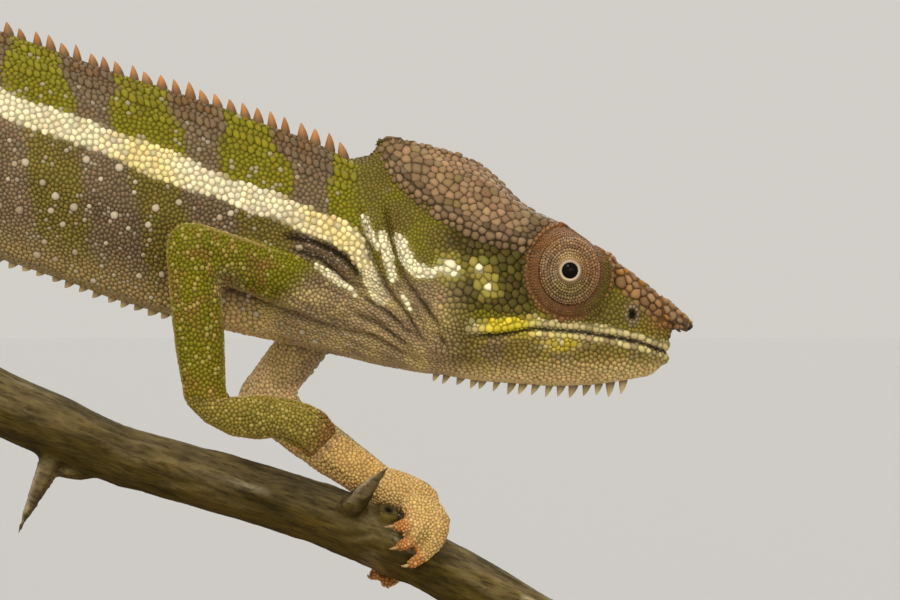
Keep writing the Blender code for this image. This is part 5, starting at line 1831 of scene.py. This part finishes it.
def barkMaterial():
    # stored tints, broken up by cracks, flecks and pale patches that run along the branch
    made, tree, shader = newMaterial("bark")
    turned = stretched(tree, placeOf(tree), (1.0, 1.0, 1.0), Rotation=(0.0, -0.345, 0.0))
    cracks = noiseNode(tree, stretched(tree, turned, (330.0, 2200.0, 2200.0)), 1.0, 5.0, Roughness=0.65)
    patches = noiseNode(tree, stretched(tree, turned, (110.0, 420.0, 420.0)), 1.0, 5.0, Roughness=0.7)
    lines = rampNode(tree, cracks, greys((0.32, 0.50), (0.45, 0.95), (0.75, 1.3)))
    cloud = rampNode(tree, patches, greys((0.36, 0.50), (0.5, 0.90)) + [(0.66, (1.40, 1.38, 1.22))])
    mixed = mixNode(tree, "MULTIPLY", 1.0, mixNode(tree, "MULTIPLY", 1.0, tintOf(tree), lines), cloud)
    tree.links.new(mixed, shader.inputs["Base Color"])
    relief = mixNode(tree, "MULTIPLY", 0.7, lines, cloud)
    bump = addNode(tree, "ShaderNodeBump", Height=relief, Distance=0.22 * mm)
    bump.inputs["Strength"].default_value = 0.9
    tree.links.new(bump.outputs["Normal"], shader.inputs["Normal"])
    shader.inputs["Roughness"].default_value = 0.8
    shader.inputs["Specular IOR Level"].default_value = 0.1
    return made


def makePerch(s):
    piece = addPiece("branch", cleanCopy(["perch"]))
    bm = remeshed(piece, s["voxel"])
    keepLargest(bm)
    bmesh.ops.triangulate(bm, faces=bm.faces[:])
    bm.to_mesh(piece.data)
    bm.free()
    p, t = pointsOf(piece.data), trianglesOf(piece.data)
    edges = edgePairs(t)
    low, high = p.min(axis=0), p.max(axis=0)
    along = p[:, 0] + s["slope"] * (p[:, 2] - 80)
    axisZ = np.interp(p[:, 0], *branchMiddle(p))
    off = np.hypot(p[:, 1], (p[:, 2] - axisZ) * 0.93)
    stem = 1 - ramp(off, 5.6, 7.5)
    ends = 1 - ramp(np.minimum(p[:, 0] - low[0], high[0] - p[:, 0]), 0.5, 3.5)
    p = evened(p, edges, (0.25 + 0.75 * stem) * (1 - ends), 8)
    n = normalsOf(p, t)
    grain = np.stack([along / 7.0, p[:, 1], p[:, 2] - axisZ], axis=1)
    ridge = wander(grain, 0.9, 61) * s["ridges"] + wander(grain * (1.6, 1, 1), 0.5, 62) * s["ridges"] * 0.6
    lump = wander(p, 9.0, 63) * s["lumps"] + wander(p, 3.5, 64) * s["pits"]
    knot = np.linalg.norm(p - s["knot"], axis=1)
    lump += 0.35 * hump(knot, 1.6, 0.5) - 0.9 * hump(knot, 0, 0.8)
    p += n * ((ridge + lump) * (0.35 + 0.65 * stem) * (1 - 0.8 * ends) - 0.18)[:, None]
    p = np.clip(p, low, high)
    setPoints(piece.data, p)
    tone = barkPaint(p, normalsOf(p, t), grain, ridge, off, knot, ends)
    vertexTint(piece.data, tone)
    piece.data.materials.append(barkMaterial())
    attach(piece, "root")
    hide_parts("perch")


def barkPaint(p, n, grain, ridge, off, knot, ends):
    # off: distance from the branch's middle line; ends: 1 close to the sawn ends
    grey, olive = np.array(barkTones["grey"]), np.array(barkTones["olive"])
    # grey on top, darker olive below: the olive tint is the bark's own, the darkening below is painted shade
    # on the under side
    tone = mixTo(olive * 0.75, grey, ramp(n[:, 2] + 0.35 * wander(p, 6.0, 65), -0.3, 0.7))
    pale = ramp(wander(grain, 1.8, 66) + 0.5 * wander(p, 6.0, 67), 0.55, 0.95) * ramp(n[:, 2], -0.4, 0.3)
    tone = mixTo(tone, barkTones["pale"], pale * 0.8)
    dark = ramp(-wander(grain, 0.8, 68), 0.25, 0.8) * 0.55 + ramp(-ridge, 0.05, 0.2) * 0.3
    tone = mixTo(tone, barkTones["crack"], np.clip(dark, 0, 0.6))
    thorn = ramp(off, 5.8, 7.0)
    # painted highlight: the thorns are paler on the side that faces the key light, up and to the left
    edge = ramp(-n[:, 0] + 0.3 * n[:, 2], 0.2, 0.8)
    horny = mixTo(barkTones["thorn"], barkTones["thornEdge"], edge)
    tone = mixTo(tone, horny, thorn)
    tone = mixTo(tone, olive * 1.5, hump(knot, 1.6, 0.5) * 0.8)
    # painted shade: the carved knot hole is painted near black
    tone = mixTo(tone, barkTones["hole"], 1 - ramp(knot, 0.6, 1.2))
    sawn = (np.abs(n[:, 0]) > 0.85) & (ends > 0.6)
    tone[sawn] = barkTones["sawn"]
    return tone * (1 + 0.25 * np.sin(off * 9.0) * sawn)[:, None]


def branchMiddle(p):
    at = np.arange(-79.0, 104.0, 4.0)
    mid = []
    for x in at:
        near = (np.abs(p[:, 0] - x) < 1.0) & (np.abs(p[:, 1]) > 3.2)
        mid.append(p[near, 2].mean() if near.any() else np.nan)
    mid = np.array(mid)
    good = ~np.isnan(mid)
    return at[good], mid[good]


makePerch(perchLook)
print("branch made")


# stand: a pale ash base with bevelled edges, two steel rods with small collars

standLook = {"corner": 20.0, "bevel": 1.6, "segments": 5, "collar": (3.6, 2.4), "sides": 48}


def ashMaterial():
    ash, tree, shader = newMaterial("oiled_ash")
    place = placeOf(tree)
    turned = stretched(tree, place, (9.0, 70.0, 55.0), Rotation=(0.0, 0.02, 0.03))
    broad = noiseNode(tree, turned, 1.0, 4.0)
    rings = addNode(tree, "ShaderNodeTexWave", {"bands_direction": "Y"}, Vector=turned,
                    Scale=0.35, Distortion=7.0, Detail=3.0)
    pores = noiseNode(tree, stretched(tree, place, (60.0, 1400.0, 1400.0)), 1.0, 3.0)
    tone = rampNode(tree, rings.outputs["Fac"],
                    [(0.0, (0.43, 0.31, 0.18)), (0.45, (0.57, 0.44, 0.28)), (1.0, (0.65, 0.52, 0.36))])
    shade = rampNode(tree, broad, [(0.3, (0.88, 0.86, 0.83)), (0.7, (1.0, 1.0, 1.0))])
    pits = rampNode(tree, pores, [(0.38, (0.76, 0.70, 0.62)), (0.52, (1.0, 1.0, 1.0))])
    mixed = mixNode(tree, "MULTIPLY", 1.0, mixNode(tree, "MULTIPLY", 1.0, tone, shade), pits)
    tree.links.new(mixed, shader.inputs["Base Color"])
    bump = addNode(tree, "ShaderNodeBump", Height=pores, Distance=0.08 * mm)
    tree.links.new(bump.outputs["Normal"], shader.inputs["Normal"])
    tree.links.new(rampNode(tree, broad, greys((0.2, 0.34), (0.8, 0.48))), shader.inputs["Roughness"])
    return ash


def steelMaterial():
    steel, tree, shader = newMaterial("brushed_steel")
    brushed = noiseNode(tree, stretched(tree, placeOf(tree), (300.0, 300.0, 6000.0)), 1.0, 2.0)
    tone = rampNode(tree, brushed, [(0.3, (0.40, 0.40, 0.41)), (0.7, (0.58, 0.58, 0.59))])
    tree.links.new(tone, shader.inputs["Base Color"])
    tree.links.new(rampNode(tree, brushed, greys((0.3, 0.26), (0.7, 0.40))), shader.inputs["Roughness"])
    shader.inputs["Metallic"].default_value = 1.0
    return steel


def makeBase(s):
    low, high = (np.array(c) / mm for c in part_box("stand_base"))
    middle, reach = (low + high) / 2, (high - low) / 2 - s["corner"]
    points = []
    for cx, cy, start in ((1, 1, 0), (-1, 1, 90), (-1, -1, 180), (1, -1, 270)):
        for turn in np.radians(np.linspace(start, start + 90, 17)):
            points.append((middle[0] + cx * reach[0] + s["corner"] * math.cos(turn),
                           middle[1] + cy * reach[1] + s["corner"] * math.sin(turn)))
    bm = bmesh.new()
    bottom = [bm.verts.new(Vector((x, y, low[2])) * mm) for x, y in points]
    top = [bm.verts.new(Vector((x, y, high[2])) * mm) for x, y in points]
    count = len(points)
    bm.faces.new(bottom[::-1])
    bm.faces.new(top)
    for k in range(count):
        bm.faces.new((bottom[k], bottom[(k + 1) % count], top[(k + 1) % count], top[k]))
    rim = [e for f in bm.faces if len(f.verts) > 4 for e in f.edges]
    bmesh.ops.bevel(bm, geom=rim, offset=s["bevel"] * mm, segments=s["segments"], profile=0.5, affect="EDGES")
    mesh = bpy.data.meshes.new("ash_base")
    bm.to_mesh(mesh)
    bm.free()
    for p in mesh.polygons:
        p.use_smooth = len(p.vertices) < 5
    slab = addPiece("ash_base", mesh, ashMaterial())
    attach(slab, "root")
    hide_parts("stand_base")


def makeRods(s):
    steel, n = steelMaterial(), s["sides"]
    wide, tall = s["collar"]
    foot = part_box("stand_base")[1][2] / mm + 0.02
    for name in ("stand_rod_front", "stand_rod_rear"):
        a, b = (np.array(c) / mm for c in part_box(name))
        x, y, r = (a[0] + b[0]) / 2, (a[1] + b[1]) / 2, (b[0] - a[0]) / 2
        rod = pointsOf(nodes[name].data)
        profile = [(0.0, a[2]), (r, a[2]), (r, foot), (wide, foot), (wide, foot + tall - 0.5),
                   (wide - 0.5, foot + tall), (r + 0.1, foot + tall), (r, foot + tall + 0.1),
                   (r, 1e3), (0.0, 1e3)]
        rings = []
        for radius, z in profile:
            for turn in np.arange(n) * 2 * math.pi / n:
                dx, dy = radius * math.cos(turn), radius * math.sin(turn)
                rings.append((x + dx, y + dy, z if z < 1e3 else rodTop(rod, x + dx, y + dy)))
        mesh = meshFrom("steel_" + name[6:], np.array(rings), ringFaces(len(profile), n))
        bm = bmesh.new()
        bm.from_mesh(mesh)
        bmesh.ops.remove_doubles(bm, verts=bm.verts, dist=1e-6)
        bmesh.ops.recalc_face_normals(bm, faces=bm.faces)
        for e in bm.edges:
            e.smooth = len(e.link_faces) == 2 and e.calc_face_angle(0) < 0.6
        bm.to_mesh(mesh)
        bm.free()
        piece = addPiece("steel_" + name[6:], mesh, steel)
        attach(piece, "root")
        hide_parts(name)


def rodTop(rod, x, y):
    # the rod's upper end follows the branch's under side, as on the CAD rod
    top = rod[rod[:, 2] > rod[:, 2].min() + 10]
    d = np.hypot(top[:, 0] - x, top[:, 1] - y) + 0.05
    w = 1 / d ** 3
    return float((top[:, 2] * w).sum() / w.sum())


makeBase(standLook)
makeRods(standLook)
print("stand made")


# finish: the skin takes its colours and stands for the flesh

def finishSkin():
    setPoints(skin.data, body)
    skin.data.update()
    # the skin between the scales is painted at about half their colours: painted shade in the grooves between
    # the scales
    vertexTint(skin.data, paintAt(body, bodyNormals, region) * 0.52)
    lighter = skin.modifiers.new("lighter", "DECIMATE")
    lighter.ratio = min(1.0, skinForm["triangles"] / len(tris))
    bakeModifiers(skin)
    smoothAll(skin.data)
    print("skin finished,", len(skin.data.polygons), "triangles")
    skin.data.materials.clear()
    skin.data.materials.append(materials["skin"])
    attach(skin, "root")
    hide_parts(*flesh, *turretNodes)


finishSkin()
print("finished")
